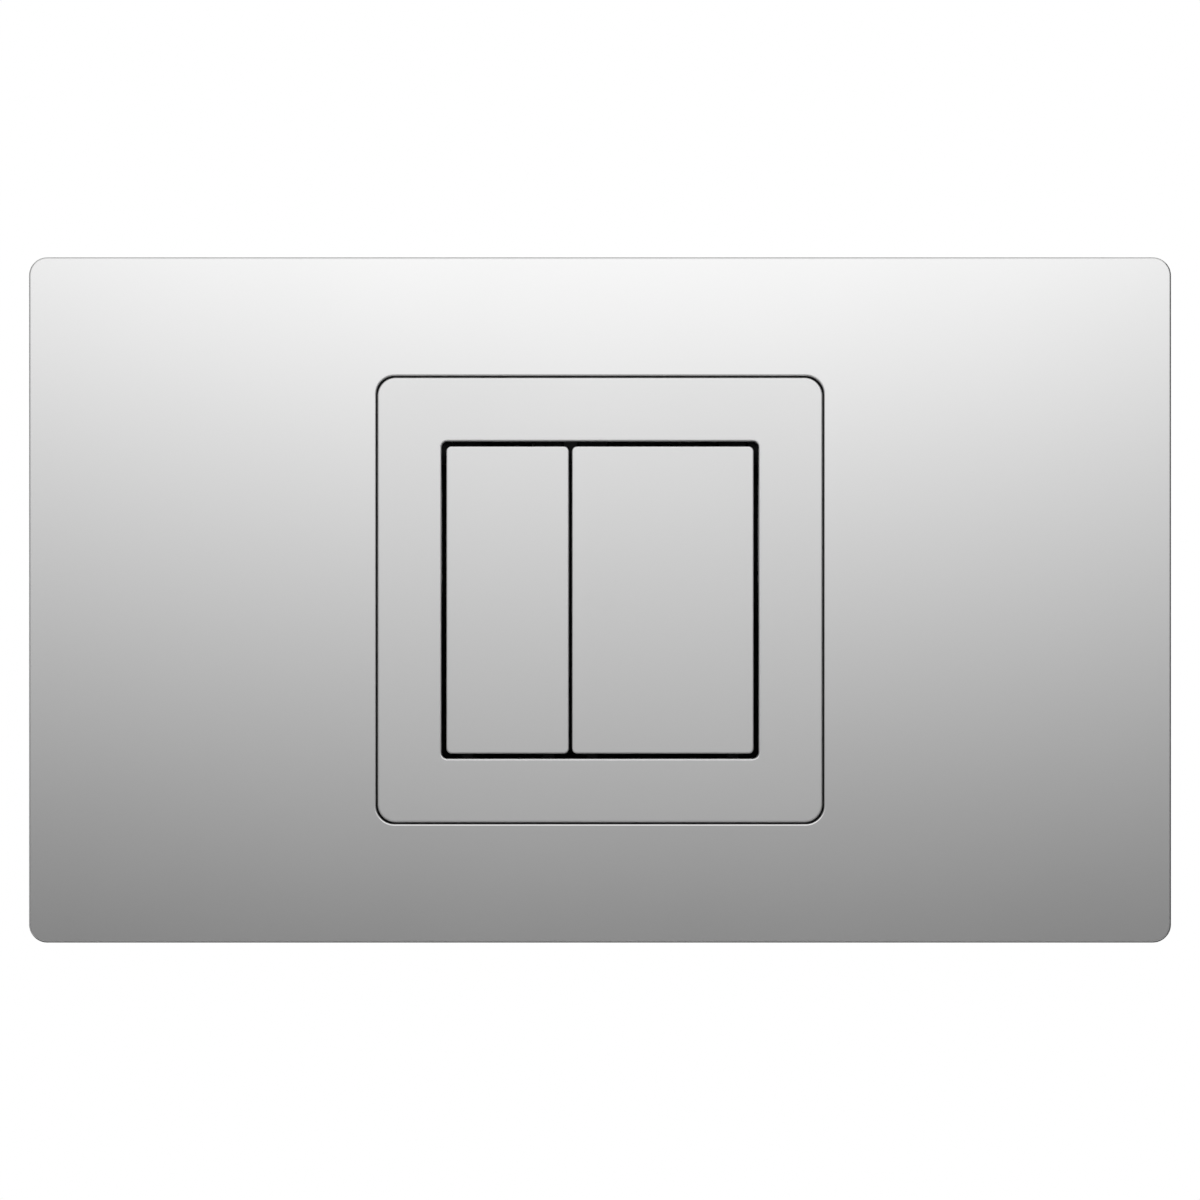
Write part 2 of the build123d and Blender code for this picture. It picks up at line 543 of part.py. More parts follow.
def fixing_stud(side):
    """Distance stud with a thinner neck for the thumb nut."""
    x = side * STUD_X
    shank = prism(Circle(STUD_DIAMETER / 2), WALL + STUD_SHOULDER, WALL + STUD_REACH, x)
    shank = chamfer(back_face(shank).edges(), STUD_CHAMFER)
    neck_front = FRAME_FRONT - THUMB_NUT_HEIGHT + THUMB_NUT_RECESS
    return shank + prism(Circle(STUD_NECK_DIAMETER / 2), neck_front, WALL + STUD_SHOULDER, x)


def thumb_nut(side):
    """Fluted nut that clamps the mounting frame."""
    flute_ring = PolarLocations(THUMB_NUT_DIAMETER / 2, THUMB_NUT_FLUTES)
    profile = Circle(THUMB_NUT_DIAMETER / 2) - flute_ring * Circle(THUMB_NUT_FLUTE_RADIUS)
    profile -= Circle(STUD_NECK_DIAMETER / 2 + THREAD_FIT)
    return prism(profile, FRAME_FRONT - THUMB_NUT_HEIGHT, FRAME_FRONT, side * STUD_X)


def retaining_clip(side, end):
    """Bent leaf clip in a pocket of the mounting frame that grips a blade of the cover plate."""
    base_x = (CLIP_BASE - CLIP_SHEET) / 2
    base_y = WALL - CLIP_BACK_GAP - CLIP_SHEET / 2
    pinch_x = BLADE_WALL / 2 + CLIP_GRIP + CLIP_SHEET / 2
    pinch_y = FRAME_FRONT - CLIP_PINCH
    tip_x = pinch_x + CLIP_FLARE
    tip_y = pinch_y - CLIP_TONGUE
    strip = FilletPolyline(
        (-tip_x, tip_y),
        (-pinch_x, pinch_y),
        (-base_x, base_y - CLIP_LEG),
        (-base_x, base_y),
        (base_x, base_y),
        (base_x, base_y - CLIP_LEG),
        (pinch_x, pinch_y),
        (tip_x, tip_y),
        radius=CLIP_BEND,
    )
    leaf = Pos(side * STUD_X, 0) * trace(strip, CLIP_SHEET)
    middle = end * BLADE_Z
    return plan_prism(leaf, middle - CLIP_WIDTH / 2, middle + CLIP_WIDTH / 2)


KEYS = ((SMALL_KEY_X, SMALL_KEY_WIDTH), (LARGE_KEY_X, LARGE_KEY_WIDTH))
LEFT, RIGHT = SIDES
LOWER, UPPER = SIDES
pieces = {
    "cover_plate": cover_plate(),
    "bezel_frame": bezel_frame(),
    "small_key_cap": key_cap(SMALL_KEY_X, SMALL_KEY_WIDTH),
    "large_key_cap": key_cap(LARGE_KEY_X, LARGE_KEY_WIDTH),
    "small_rocker": rocker(SMALL_KEY_X, SMALL_KEY_WIDTH),
    "large_rocker": rocker(LARGE_KEY_X, LARGE_KEY_WIDTH),
    "module_carrier": module_carrier(),
    "carrier_screws": carrier_screws(),
    "hinge_axle": hinge_axle(),
    "axle_clips": axle_clips(),
    "stop_buffers": stop_buffers(),
    "small_plunger": plunger(SMALL_KEY_X),
    "large_plunger": plunger(LARGE_KEY_X),
    "small_return_spring": return_spring(SMALL_KEY_X),
    "large_return_spring": return_spring(LARGE_KEY_X),
    "small_push_rod": push_rod(SMALL_KEY_X),
    "large_push_rod": push_rod(LARGE_KEY_X),
    "small_lock_nut": lock_nut(SMALL_KEY_X),
    "large_lock_nut": lock_nut(LARGE_KEY_X),
    "small_rod_tip": rod_tip(SMALL_KEY_X),
    "large_rod_tip": rod_tip(LARGE_KEY_X),
    "mounting_frame": mounting_frame(),
    "fixing_stud_left": fixing_stud(LEFT),
    "fixing_stud_right": fixing_stud(RIGHT),
    "thumb_nut_left": thumb_nut(LEFT),
    "thumb_nut_right": thumb_nut(RIGHT),
    "clip_upper_left": retaining_clip(LEFT, UPPER),
    "clip_upper_right": retaining_clip(RIGHT, UPPER),
    "clip_lower_left": retaining_clip(LEFT, LOWER),
    "clip_lower_right": retaining_clip(RIGHT, LOWER),
}
os.makedirs("parts", exist_ok=True)
for name, shape in pieces.items():
    export_step(shape, f"parts/{name}.step")
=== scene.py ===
import json
import logging
import math
from collections.abc import Sequence
from dataclasses import dataclass, field, replace
from enum import Enum
from functools import cache
from typing import Any

import bmesh
import bpy
import numpy as np
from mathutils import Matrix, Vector
from numpy.typing import ArrayLike

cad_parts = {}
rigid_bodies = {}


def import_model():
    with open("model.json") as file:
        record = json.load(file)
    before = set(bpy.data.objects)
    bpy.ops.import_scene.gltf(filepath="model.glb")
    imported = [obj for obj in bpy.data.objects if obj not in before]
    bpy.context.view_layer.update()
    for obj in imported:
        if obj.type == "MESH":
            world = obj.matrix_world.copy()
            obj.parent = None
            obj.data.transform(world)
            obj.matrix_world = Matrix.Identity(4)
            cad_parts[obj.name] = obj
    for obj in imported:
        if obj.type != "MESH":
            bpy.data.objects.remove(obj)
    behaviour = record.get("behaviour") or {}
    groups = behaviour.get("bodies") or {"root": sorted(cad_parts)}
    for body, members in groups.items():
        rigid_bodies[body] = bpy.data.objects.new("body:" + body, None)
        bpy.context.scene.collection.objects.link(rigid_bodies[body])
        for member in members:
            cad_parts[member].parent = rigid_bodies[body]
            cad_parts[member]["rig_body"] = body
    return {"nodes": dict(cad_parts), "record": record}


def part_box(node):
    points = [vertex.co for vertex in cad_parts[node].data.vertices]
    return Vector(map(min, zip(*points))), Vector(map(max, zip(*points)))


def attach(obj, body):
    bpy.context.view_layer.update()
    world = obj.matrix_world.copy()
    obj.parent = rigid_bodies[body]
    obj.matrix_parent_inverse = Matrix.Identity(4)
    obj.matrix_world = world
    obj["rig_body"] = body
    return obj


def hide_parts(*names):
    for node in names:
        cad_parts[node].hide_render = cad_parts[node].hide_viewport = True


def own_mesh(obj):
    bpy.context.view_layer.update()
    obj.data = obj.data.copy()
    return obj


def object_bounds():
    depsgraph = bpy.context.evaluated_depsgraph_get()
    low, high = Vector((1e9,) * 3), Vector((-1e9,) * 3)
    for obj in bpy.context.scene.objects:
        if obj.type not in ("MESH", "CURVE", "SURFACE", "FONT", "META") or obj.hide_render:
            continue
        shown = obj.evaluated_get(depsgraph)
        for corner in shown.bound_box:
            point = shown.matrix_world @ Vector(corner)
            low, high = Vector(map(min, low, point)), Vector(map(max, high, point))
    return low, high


# Looks of a flush button plate: a satin chrome front with a narrow and a wide key, and the works behind it.
# The frame is in metres and the shapes here are worked out in millimetres, with the origin on the wall face,
# X to the right as seen from the room, Y into the wall and Z up.

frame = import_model()
cad_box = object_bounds()

Array = np.ndarray
Tree = bpy.types.NodeTree
Socket = bpy.types.NodeSocket
Place = tuple[float, float, float]
log = logging.getLogger("flush_plate")

MM = 0.001
TURN = 2 * math.pi
X, Y, Z = range(3)
SMALLEST_RADIUS = 0.05  # of a corner, so that no face shrinks to nothing
SUNK = 0.2  # depth to which a rib or hook is rooted in the piece that carries it
ARC_SHARE = 0.49  # of a straight run, the most that the arc at one end of it takes
CREASE_DEG = 35.0  # faces that meet at more than this have a crisp edge
WELD = 0.001  # points of a CAD node nearer than this are one point
FLAT_DEG = 0.5  # triangles that meet at less than this are one flat face
ROUND_POINTS = 64  # on a turned ring
THREAD_ROWS = 10  # rings of points to each millimetre of a thread
NOISE_SPAN = (0.3, 0.7)  # nearly all values of a noise lie between these
SLOTS = {part["node"]: part["material_slot"] for part in frame["record"]["subparts"]}


class Axis(Enum):
    """Ways that a turned piece points: along it, then the two directions square to it, right-handed."""

    ACROSS = ((1, 0, 0), (0, 1, 0), (0, 0, 1))
    INWARD = ((0, 1, 0), (0, 0, 1), (1, 0, 0))


class Flush(Enum):
    """The two flushes, each with a key and an actuator of its own."""

    SMALL = "small"
    LARGE = "large"

    def node(self, piece: str) -> str:
        """Name of this flush's node of a kind."""
        return f"{self.value}_{piece}"


class Side(Enum):
    """The two sides as seen from the room."""

    LEFT = -1
    RIGHT = 1


class Level(Enum):
    """The two heights at which the clips sit."""

    LOWER = -1
    UPPER = 1


@dataclass(frozen=True)
class Box:
    """The space that a CAD node fills, in millimetres."""

    low: Array
    high: Array

    @classmethod
    def of(cls, node: str) -> "Box":
        """Read the corners of a node from the frame."""
        low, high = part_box(node)
        return cls(np.array(low) / MM, np.array(high) / MM)

    @property
    def size(self) -> Array:
        """Width, depth and height."""
        return self.high - self.low

    @property
    def middle(self) -> Array:
        """The point in the middle."""
        return (self.low + self.high) / 2

    def axis_point(self) -> Array:
        """The point of the inward middle line that lies on the wall face."""
        return self.middle * (1, 0, 1)


@dataclass(frozen=True)
class Shell:
    """A closed surface: points in millimetres, faces with one number of corners, and flat caps."""

    points: Array
    faces: Array
    caps: tuple[Array, ...] = ()

    @classmethod
    def through(cls, rings: Array, closed: bool = False) -> "Shell":
        """Join each ring of points to the next one.

        A quad lies between two neighbours on a ring and the two points beside them on the next ring. The
        signed volume, the sum of a . (b x c) over the triangles, is negative where the faces point inwards,
        and they are turned round then.

        Args:
            rings: points of shape (rings, points on a ring, 3).
            closed: whether the last ring meets the first; otherwise flat caps close both ends.

        Returns:
            The surface with its faces pointing outwards.
        """
        index = np.arange(rings.shape[0] * rings.shape[1]).reshape(rings.shape[:2])
        beyond = np.roll(index, -1, axis=0)
        quads = np.stack([index, np.roll(index, -1, 1), np.roll(beyond, -1, 1), beyond], axis=-1)
        caps = () if closed else (index[0, ::-1], index[-1])
        quads = (quads if closed else quads[:-1]).reshape(-1, 4)
        points = rings.reshape(-1, 3)
        a, b, c, d = points[quads].transpose(1, 0, 2)
        volume = np.sum(a * (np.cross(b, c) + np.cross(c, d)))
        for cap in caps:
            fan = points[cap]
            volume += np.sum(fan[0] * np.cross(fan[1:-1], fan[2:]))
        if volume < 0:
            quads = quads[:, ::-1]
            caps = tuple(cap[::-1] for cap in caps)
        return cls(points, quads, caps)


@dataclass(frozen=True)
class RoundRectangle:
    """An upright rectangle with round corners, as seen from the room."""

    width: float
    height: float
    radius: float
    x: float = 0.0
    z: float = 0.0
    steps: int = 12  # of the arc in a corner

    def rings(self, *sections: ArrayLike) -> Array:
        """Carry sections round the outline, one after the other.

        A corner's arc keeps its centre while its radius shrinks by the inset. A radius that would vanish
        stays at the smallest one, and its centre moves in instead.

        Args:
            sections: pairs of inset from the outline and depth.

        Returns:
            Points of shape (pairs, points on a ring, 3).
        """
        inset, depth = np.vstack(sections).astype(float).T[:, :, None, None]
        radius = np.maximum(self.radius - inset, SMALLEST_RADIUS)
        angle = (np.arange(4)[:, None] + np.linspace(0, 1, self.steps + 1)) * TURN / 4
        right = np.array([1, -1, -1, 1])[:, None]
        up = np.array([1, 1, -1, -1])[:, None]
        x = self.x + right * (self.width / 2 - inset - radius) + radius * np.cos(angle)
        z = self.z + up * (self.height / 2 - inset - radius) + radius * np.sin(angle)
        points = np.stack([x, np.broadcast_to(depth, x.shape), z], axis=-1)
        return points.reshape(len(points), -1, 3)

    def loop(self) -> Array:
        """The bare outline as pairs of width and height."""
        return self.rings([(0, 0)])[0][:, [X, Z]]


def rounded_edge(face: float, radius: float, behind: int = 1, hole: bool = False, steps: int = 6) -> Array:
    """Section of an edge from a wall round to a face, a quarter of a circle.

    Args:
        face: depth of the face.
        radius: radius of the edge.
        behind: 1 where the wall lies behind the face, -1 where it lies in front.
        hole: whether the wall is that of a hole, with the face outside its outline.
        steps: steps of the quarter circle.

    Returns:
        Pairs of inset and depth.
    """
    angle = np.linspace(0, TURN / 4, steps + 1)
    inset = radius * (1 - np.cos(angle))
    depth = face + behind * radius * (1 - np.sin(angle))
    return np.column_stack([-inset if hole else inset, depth])


def block(outline: RoundRectangle, root: float, top: float, edge: float) -> Shell:
    """An upright block that grows from a root to a top with a rounded edge.

    Args:
        outline: its outline as seen from the room.
        root: depth at which it starts.
        top: depth at which it ends.
        edge: radius of the edge at the top.

    Returns:
        The closed surface.
    """
    behind = 1 if root > top else -1
    return Shell.through(outline.rings([(0, root)], rounded_edge(top, edge, behind)))


def bent(corners: ArrayLike, radius: float | Array, closed: bool = False, steps: int = 5) -> Array:
    """Round the corners of a line of straight runs.

    The arc at a corner starts one tangent length, radius times the tangent of half the turn, before it.
    From there a point goes sin(a) times the radius along the run and 1 - cos(a) times it to the inside.

    Args:
        corners: points of shape (corners, 2).
        radius: one radius, or one for each corner that is rounded.
        closed: whether the line ends where it starts, so that all its corners are rounded.
        steps: steps of each arc.

    Returns:
        Points of shape (points, 2).
    """
    corners = np.asarray(corners, float)
    rounded = slice(None) if closed else slice(1, -1)
    corner = corners[rounded]
    run_in = corner - np.roll(corners, 1, 0)[rounded]
    run_out = np.roll(corners, -1, 0)[rounded] - corner
    length_in, length_out = np.linalg.norm(run_in, axis=1), np.linalg.norm(run_out, axis=1)
    way_in, way_out = run_in / length_in[:, None], run_out / length_out[:, None]
    left = np.column_stack([-way_in[:, 1], way_in[:, 0]])
    turn = np.arctan2(np.sum(left * way_out, 1), np.sum(way_in * way_out, 1))
    half = np.tan(np.abs(turn) / 2)
    radius = np.minimum(radius, ARC_SHARE * np.minimum(length_in, length_out) / half)
    inside = np.sign(turn)[:, None] * left
    start = corner - way_in * (radius * half)[:, None]
    sweep = np.abs(turn)[:, None, None] * np.linspace(0, 1, steps + 1)[:, None]
    arcs = start[:, None] + radius[:, None, None] * (
        np.sin(sweep) * way_in[:, None] + (1 - np.cos(sweep)) * inside[:, None]
    )
    points = arcs.reshape(-1, 2)
    return points if closed else np.vstack([corners[:1], points, corners[-1:]])


def full_turn(steps: int) -> Array:
    """Even angles round a full turn, without the last one, which is the first."""
    return np.arange(steps) * TURN / steps


def from_nearest(angle: Array, count: int) -> Array:
    """Angle from the nearest of evenly spaced directions, one of which is at 0."""
    pitch = TURN / count
    return (angle + pitch / 2) % pitch - pitch / 2


def revolved(
    axis: Axis, centre: Array, angle: Array, radius: Array, along: Array, closed: bool = False
) -> Shell:
    """A surface round an axis: each point has a radius and a place along it that may depend on its angle.

    Args:
        axis: the way that the piece points.
        centre: point on the axis from which the place along it counts.
        angle: angles of the points on a ring.
        radius: radii of shape (rings, points) or (rings, 1).
        along: places of shape (rings, points) or (rings, 1).
        closed: whether the last ring meets the first, as where the axis is open.

    Returns:
        The closed surface.
    """
    way, side, up = np.array(axis.value, float)
    across = np.cos(angle)[:, None] * side + np.sin(angle)[:, None] * up
    radius, along = np.broadcast_arrays(radius, along, np.empty((1, len(angle))))[:2]
    return Shell.through(centre + along[..., None] * way + radius[..., None] * across, closed)


def turned(axis: Axis, centre: Array, profile: ArrayLike, closed: bool = False) -> Shell:
    """A piece from the lathe: a profile of radius and place along the axis, carried round it.

    Args:
        axis: the way that the piece points.
        centre: point on the axis from which the place along it counts.
        profile: pairs of radius and place.
        closed: whether the profile ends where it starts, as on a ring.

    Returns:
        The closed surface.
    """
    radius, along = np.asarray(profile, float).T[:, :, None]
    return revolved(axis, centre, full_turn(ROUND_POINTS), radius, along, closed)


def swept(path: Array, side: Array, lift: Array, section: Array) -> Shell:
    """Carry a flat section along a path: each ring is path + width * side + height * lift.

    Args:
        path: points of shape (points, 3).
        side: direction of the section's width at each point.
        lift: direction of the section's height at each point.
        section: outline as pairs of width and height.

    Returns:
        The closed surface with flat ends.
    """
    width, height = section.T[:, None, :, None]
    return Shell.through(path[:, None] + width * side[:, None] + height * lift[:, None])


@dataclass(frozen=True)
class Thread:
    """A screw thread between two places on a bar."""

    start: float
    end: float
    pitch: float
    depth: float
    run_out: float = 0.8  # length over which the groove fades at its ends
    sharpness: float = 1.35  # more than 1 levels off crests and roots

    def groove(self, along: Array, angle: Array) -> Array:
        """Depth of the groove: a cosine that repeats after a pitch along the bar and after a turn about it.

        The wave is stretched by the sharpness and clipped, so that crests and roots are narrow flats.

        Args:
            along: places of shape (rings, 1).
            angle: angles of the points on a ring.

        Returns:
            Depths of shape (rings, points).
        """
        wave = self.sharpness * np.cos(TURN * along / self.pitch - angle)
        fade = np.clip(np.minimum(along - self.start, self.end - along) / self.run_out, 0, 1)
        return self.depth * fade * (0.5 + 0.5 * np.clip(wave, -1, 1))


def threaded_bar(centre: Array, knots: ArrayLike, threads: list[Thread], steps: int = 36) -> Shell:
    """A bar that points inwards: its radius runs straight between knots, less the grooves of its threads.

    Args:
        centre: point on its axis.
        knots: pairs of place along the bar and radius there.
        threads: the threads on it.
        steps: points on a ring.

    Returns:
        The closed surface.
    """
    place, size = np.asarray(knots, float).T
    rows = int((place[-1] - place[0]) * THREAD_ROWS)
    along = np.linspace(place[0], place[-1], rows)[:, None]
    angle = full_turn(steps)
    radius = np.interp(along, place, size) - sum(thread.groove(along, angle) for thread in threads)
    return revolved(Axis.INWARD, centre, angle, radius, along)


def corner_places(x: float, z: float) -> list[tuple[float, float]]:
    """The four places at a width and a height to both sides of the middle."""
    return [(side.value * x, level.value * z) for side in Side for level in Level]


@dataclass(frozen=True)
class EjectorPin:
    """A pin that pushes a moulding out of its mould and leaves a low round mark on it."""

    radius: float = 2.2
    height: float = 0.3
    root: float = 0.5  # depth to which a mark goes into the moulding

    def marks(self, places: list[tuple[float, float]], face: float) -> list[Shell]:
        """Marks with sides at 45 degrees on a face that looks inwards.

        Args:
            places: widths and heights of their middles.
            face: depth of the face.

        Returns:
            Their closed surfaces.
        """
        foot = self.radius + self.height + self.root
        profile = [(foot, face - self.root), (self.radius, face + self.height)]
        return [turned(Axis.INWARD, np.array([x, 0, z]), profile) for x, z in places]


def mesh_of(name: str, shells: Sequence[Shell]) -> bpy.types.Mesh:
    """Put closed shells into one mesh.

    Args:
        name: the mesh's name.
        shells: the surfaces, in millimetres.

    Returns:
        The mesh, in the frame.
    """
    faces: list[list[int]] = []
    start = 0
    for shell in shells:
        faces += (shell.faces + start).tolist() + [(cap + start).tolist() for cap in shell.caps]
        start += len(shell.points)
    mesh = bpy.data.meshes.new(name)
    mesh.from_pydata(np.vstack([shell.points for shell in shells]) * MM, [], faces)
    return mesh


def linear(colour: str) -> tuple[float, ...]:
    """Turn an sRGB hex value into linear light.

    Args:
        colour: six hex digits after a hash mark.

    Returns:
        Red, green, blue and a full alpha.
    """
    srgb = np.array([int(colour[i : i + 2], 16) for i in (1, 3, 5)]) / 255
    curve = np.where(srgb <= 0.04045, srgb / 12.92, ((srgb + 0.055) / 1.055) ** 2.4)
    return (*curve.tolist(), 1.0)


def repeats(size: float) -> float:
    """How often a pattern of a size in millimetres fits into a metre."""
    return 1 / (size * MM)


def add_node(tree: Tree, kind: str, inputs: dict[str | int, Any], **settings: Any) -> bpy.types.Node:
    """Add a node to a tree.

    Args:
        tree: the tree.
        kind: the node's type name.
        inputs: a plain value, or the socket to link, for each input by name or number.
        settings: the node's own properties.

    Returns:
        The node.
    """
    node = tree.nodes.new(kind)
    for name, value in settings.items():
        setattr(node, name, value)
    for name, value in inputs.items():
        if isinstance(value, Socket):
            tree.links.new(value, node.inputs[name])
        else:
            node.inputs[name].default_value = value
    return node


class Relief(Enum):
    """Fine reliefs of a skin: the node that draws one, its output for the height, inputs and settings."""

    GRAIN = ("ShaderNodeTexNoise", "Fac", {"Detail": 2}, {})  # soft and even
    PITS = ("ShaderNodeTexVoronoi", "Distance", {"Smoothness": 0.8}, {"feature": "SMOOTH_F1"})  # rounded
    CELLS = ("ShaderNodeTexVoronoi", "Distance", {}, {})  # with sharp borders


@dataclass(frozen=True)
class Finish:
    """How a surface takes the light. Lengths of patterns are in millimetres."""

    name: str
    colour: str
    roughness: float
    metallic: float = 0.0
    ior: float = 1.5
    skin: Relief = Relief.GRAIN
    grain: float = 0.8  # size of the fine relief
    relief: float = 0.01  # height of the fine relief
    cloud: float = 20.0  # size of the slow changes of gloss and tone
    gloss_spread: float = 0.05  # of the roughness, up and down
    shade: str = ""  # second tone of the slow changes, if there is one

    def material(self) -> bpy.types.Material:
        """Make the material: one shader, with its patterns on Object coordinates.

        Returns:
            The material.
        """
        made = bpy.data.materials.new(self.name)
        made.use_nodes = True
        tree = made.node_tree
        tree.nodes.clear()
        point = add_node(tree, "ShaderNodeTexCoord", {}).outputs["Object"]
        shader = add_node(tree, "ShaderNodeBsdfPrincipled", self.sockets(tree, point))
        add_node(tree, "ShaderNodeOutputMaterial", {"Surface": shader.outputs["BSDF"]})
        return made

    def sockets(self, tree: Tree, point: Socket) -> dict[str, Any]:
        """Work out what the shader takes: plain values, the fine relief, slow changes of gloss and tone.

        Args:
            tree: the material's tree.
            point: the Object coordinates.

        Returns:
            A value, or a socket to link, for each of the shader's inputs by name.
        """
        clouds = add_node(tree, "ShaderNodeTexNoise", {
            "Vector": point, "Scale": repeats(self.cloud), "Detail": 3,
        }).outputs["Fac"]
        low, high = NOISE_SPAN
        gloss = add_node(tree, "ShaderNodeMapRange", {
            "Value": clouds, "From Min": low, "From Max": high,
            "To Min": self.roughness - self.gloss_spread, "To Max": self.roughness + self.gloss_spread,
        })
        bump = add_node(tree, "ShaderNodeBump", {
            "Height": self.relief_height(tree, point), "Distance": self.relief * MM,
        })
        tone: Any = linear(self.colour)
        if self.shade:
            tone = add_node(tree, "ShaderNodeMix", {
                "Factor": clouds, "A": linear(self.colour), "B": linear(self.shade),
            }, data_type="RGBA").outputs["Result"]
        return {
            "Base Color": tone, "Metallic": self.metallic, "IOR": self.ior,
            "Roughness": gloss.outputs["Result"], "Normal": bump.outputs["Normal"],
        }

    def relief_height(self, tree: Tree, point: Socket) -> Socket:
        """Height of the fine relief, from 0 to 1, in the size of the grain.

        Args:
            tree: the material's tree.
            point: the Object coordinates.

        Returns:
            The socket that gives the height.
        """
        kind, height, inputs, settings = self.skin.value
        pattern = {"Vector": point, "Scale": repeats(self.grain)}
        return add_node(tree, kind, pattern | inputs, **settings).outputs[height]


@dataclass(frozen=True)
class SilkyAcetal(Finish):
    """Natural acetal: light goes a little way into it, so that its edges look soft."""

    light_share: float = 0.25  # of the light that goes in
    light_depth: float = 1.2
    light_tint: tuple[float, float, float] = (1.0, 0.95, 0.85)  # how deep red, green and blue go

    def sockets(self, tree: Tree, point: Socket) -> dict[str, Any]:
        """Add the light that goes in to what the shader takes.

        Args:
            tree: the material's tree.
            point: the Object coordinates.

        Returns:
            A value, or a socket to link, for each of the shader's inputs by name.
        """
        return super().sockets(tree, point) | {
            "Subsurface Weight": self.light_share, "Subsurface Scale": self.light_depth * MM,
            "Subsurface Radius": self.light_tint,
        }


@dataclass(frozen=True)
class DrawnSteel(Finish):
    """Steel drawn through a die: fine lines run along it."""

    line_length: float = 12.0  # of a drawing line
    way: Axis = Axis.ACROSS

    def relief_height(self, tree: Tree, point: Socket) -> Socket:
        """Height of the lines, from 0 to 1: noise that is stretched along the piece.

        Args:
            tree: the material's tree.
            point: the Object coordinates.

        Returns:
            The socket that gives the height.
        """
        along = np.array(self.way.value[0])
        stretch = add_node(tree, "ShaderNodeMapping", {
            "Vector": point, "Scale": tuple(np.where(along, repeats(self.line_length), repeats(self.grain))),
        }).outputs["Vector"]
        return add_node(tree, "ShaderNodeTexNoise", {
            "Vector": stretch, "Scale": 1.0, "Detail": 3,
        }).outputs["Fac"]


# Chromium over pearl nickel on moulded ABS: an even soft mirror with no lines.
SATIN_CHROME = Finish(
    "satin_chrome_on_abs", "#C4C4C4", 0.3, metallic=1.0,
    grain=0.6, relief=0.0008, cloud=35.0, gloss_spread=0.012,
)

# The real grain of these surfaces is some hundredths of a millimetre wide, up to a tenth on the eroded ones.
# It is drawn coarser, so that it shows as a breath of texture in a picture of the whole plate.
FINISHES: dict[str, Finish] = {
    "satin_chromed_plastic": SATIN_CHROME,
    # The same plating over a duller nickel, on the frame and the keys: it smears the light a little more.
    "matt_chromed_plastic": replace(SATIN_CHROME, name="matt_chrome_on_abs", roughness=0.42),
    # ABS dyed through, from a spark-eroded mould: deep black and dry, as its rounded pits swallow the gloss.
    "black_plastic": Finish(
        "black_eroded_abs", "#141415", 0.66, ior=1.4,
        skin=Relief.PITS, grain=0.7, relief=0.02, cloud=14.0, shade="#19191B",
    ),
    # Polypropylene for a hidden frame: pale grey, waxy and matt, with faint flow marks.
    "grey_plastic": Finish(
        "grey_polypropylene", "#9DA0A2", 0.5, ior=1.49,
        skin=Relief.PITS, grain=0.9, relief=0.016, cloud=26.0, shade="#93969A",
    ),
    # Acetal, unpainted: milky white and silky, as it slides well.
    "white_acetal": SilkyAcetal(
        "natural_acetal", "#E3E2DC", 0.36, ior=1.48, grain=0.5, relief=0.004, cloud=9.0, shade="#DAD9D2",
    ),
    # Glass-filled nylon: dark grey, its fibres just rough the skin.
    "dark_grey_plastic": Finish(
        "glass_filled_nylon", "#55585B", 0.52, ior=1.53, grain=0.45, relief=0.012, cloud=6.0, shade="#4B4E51",
    ),
    # Stainless spring steel, drawn bright: warm grey with fine lines along it.
    "stainless_steel": DrawnSteel(
        "drawn_stainless_steel", "#C2C0BB", 0.26, metallic=1.0, grain=0.15, relief=0.003, cloud=8.0,
    ),
    # Mild steel with clear-passivated zinc: bluish and slightly cloudy, with faint cells of more gloss.
    "zinc_plated_steel": Finish(
        "zinc_plated_steel", "#C6CACF", 0.32, metallic=1.0,
        skin=Relief.CELLS, grain=0.9, relief=0.003, cloud=5.0, gloss_spread=0.08, shade="#BDBFBE",
    ),
    # EPDM rubber: black and dry, with a dusty skin.
    "black_rubber": Finish(
        "black_epdm_rubber", "#1F1F1F", 0.78, ior=1.52, grain=0.35, relief=0.012, cloud=4.0, shade="#282828",
    ),
}


@cache
def material_of(slot: str) -> bpy.types.Material:
    """The one material of a slot of the record."""
    return FINISHES[slot].material()


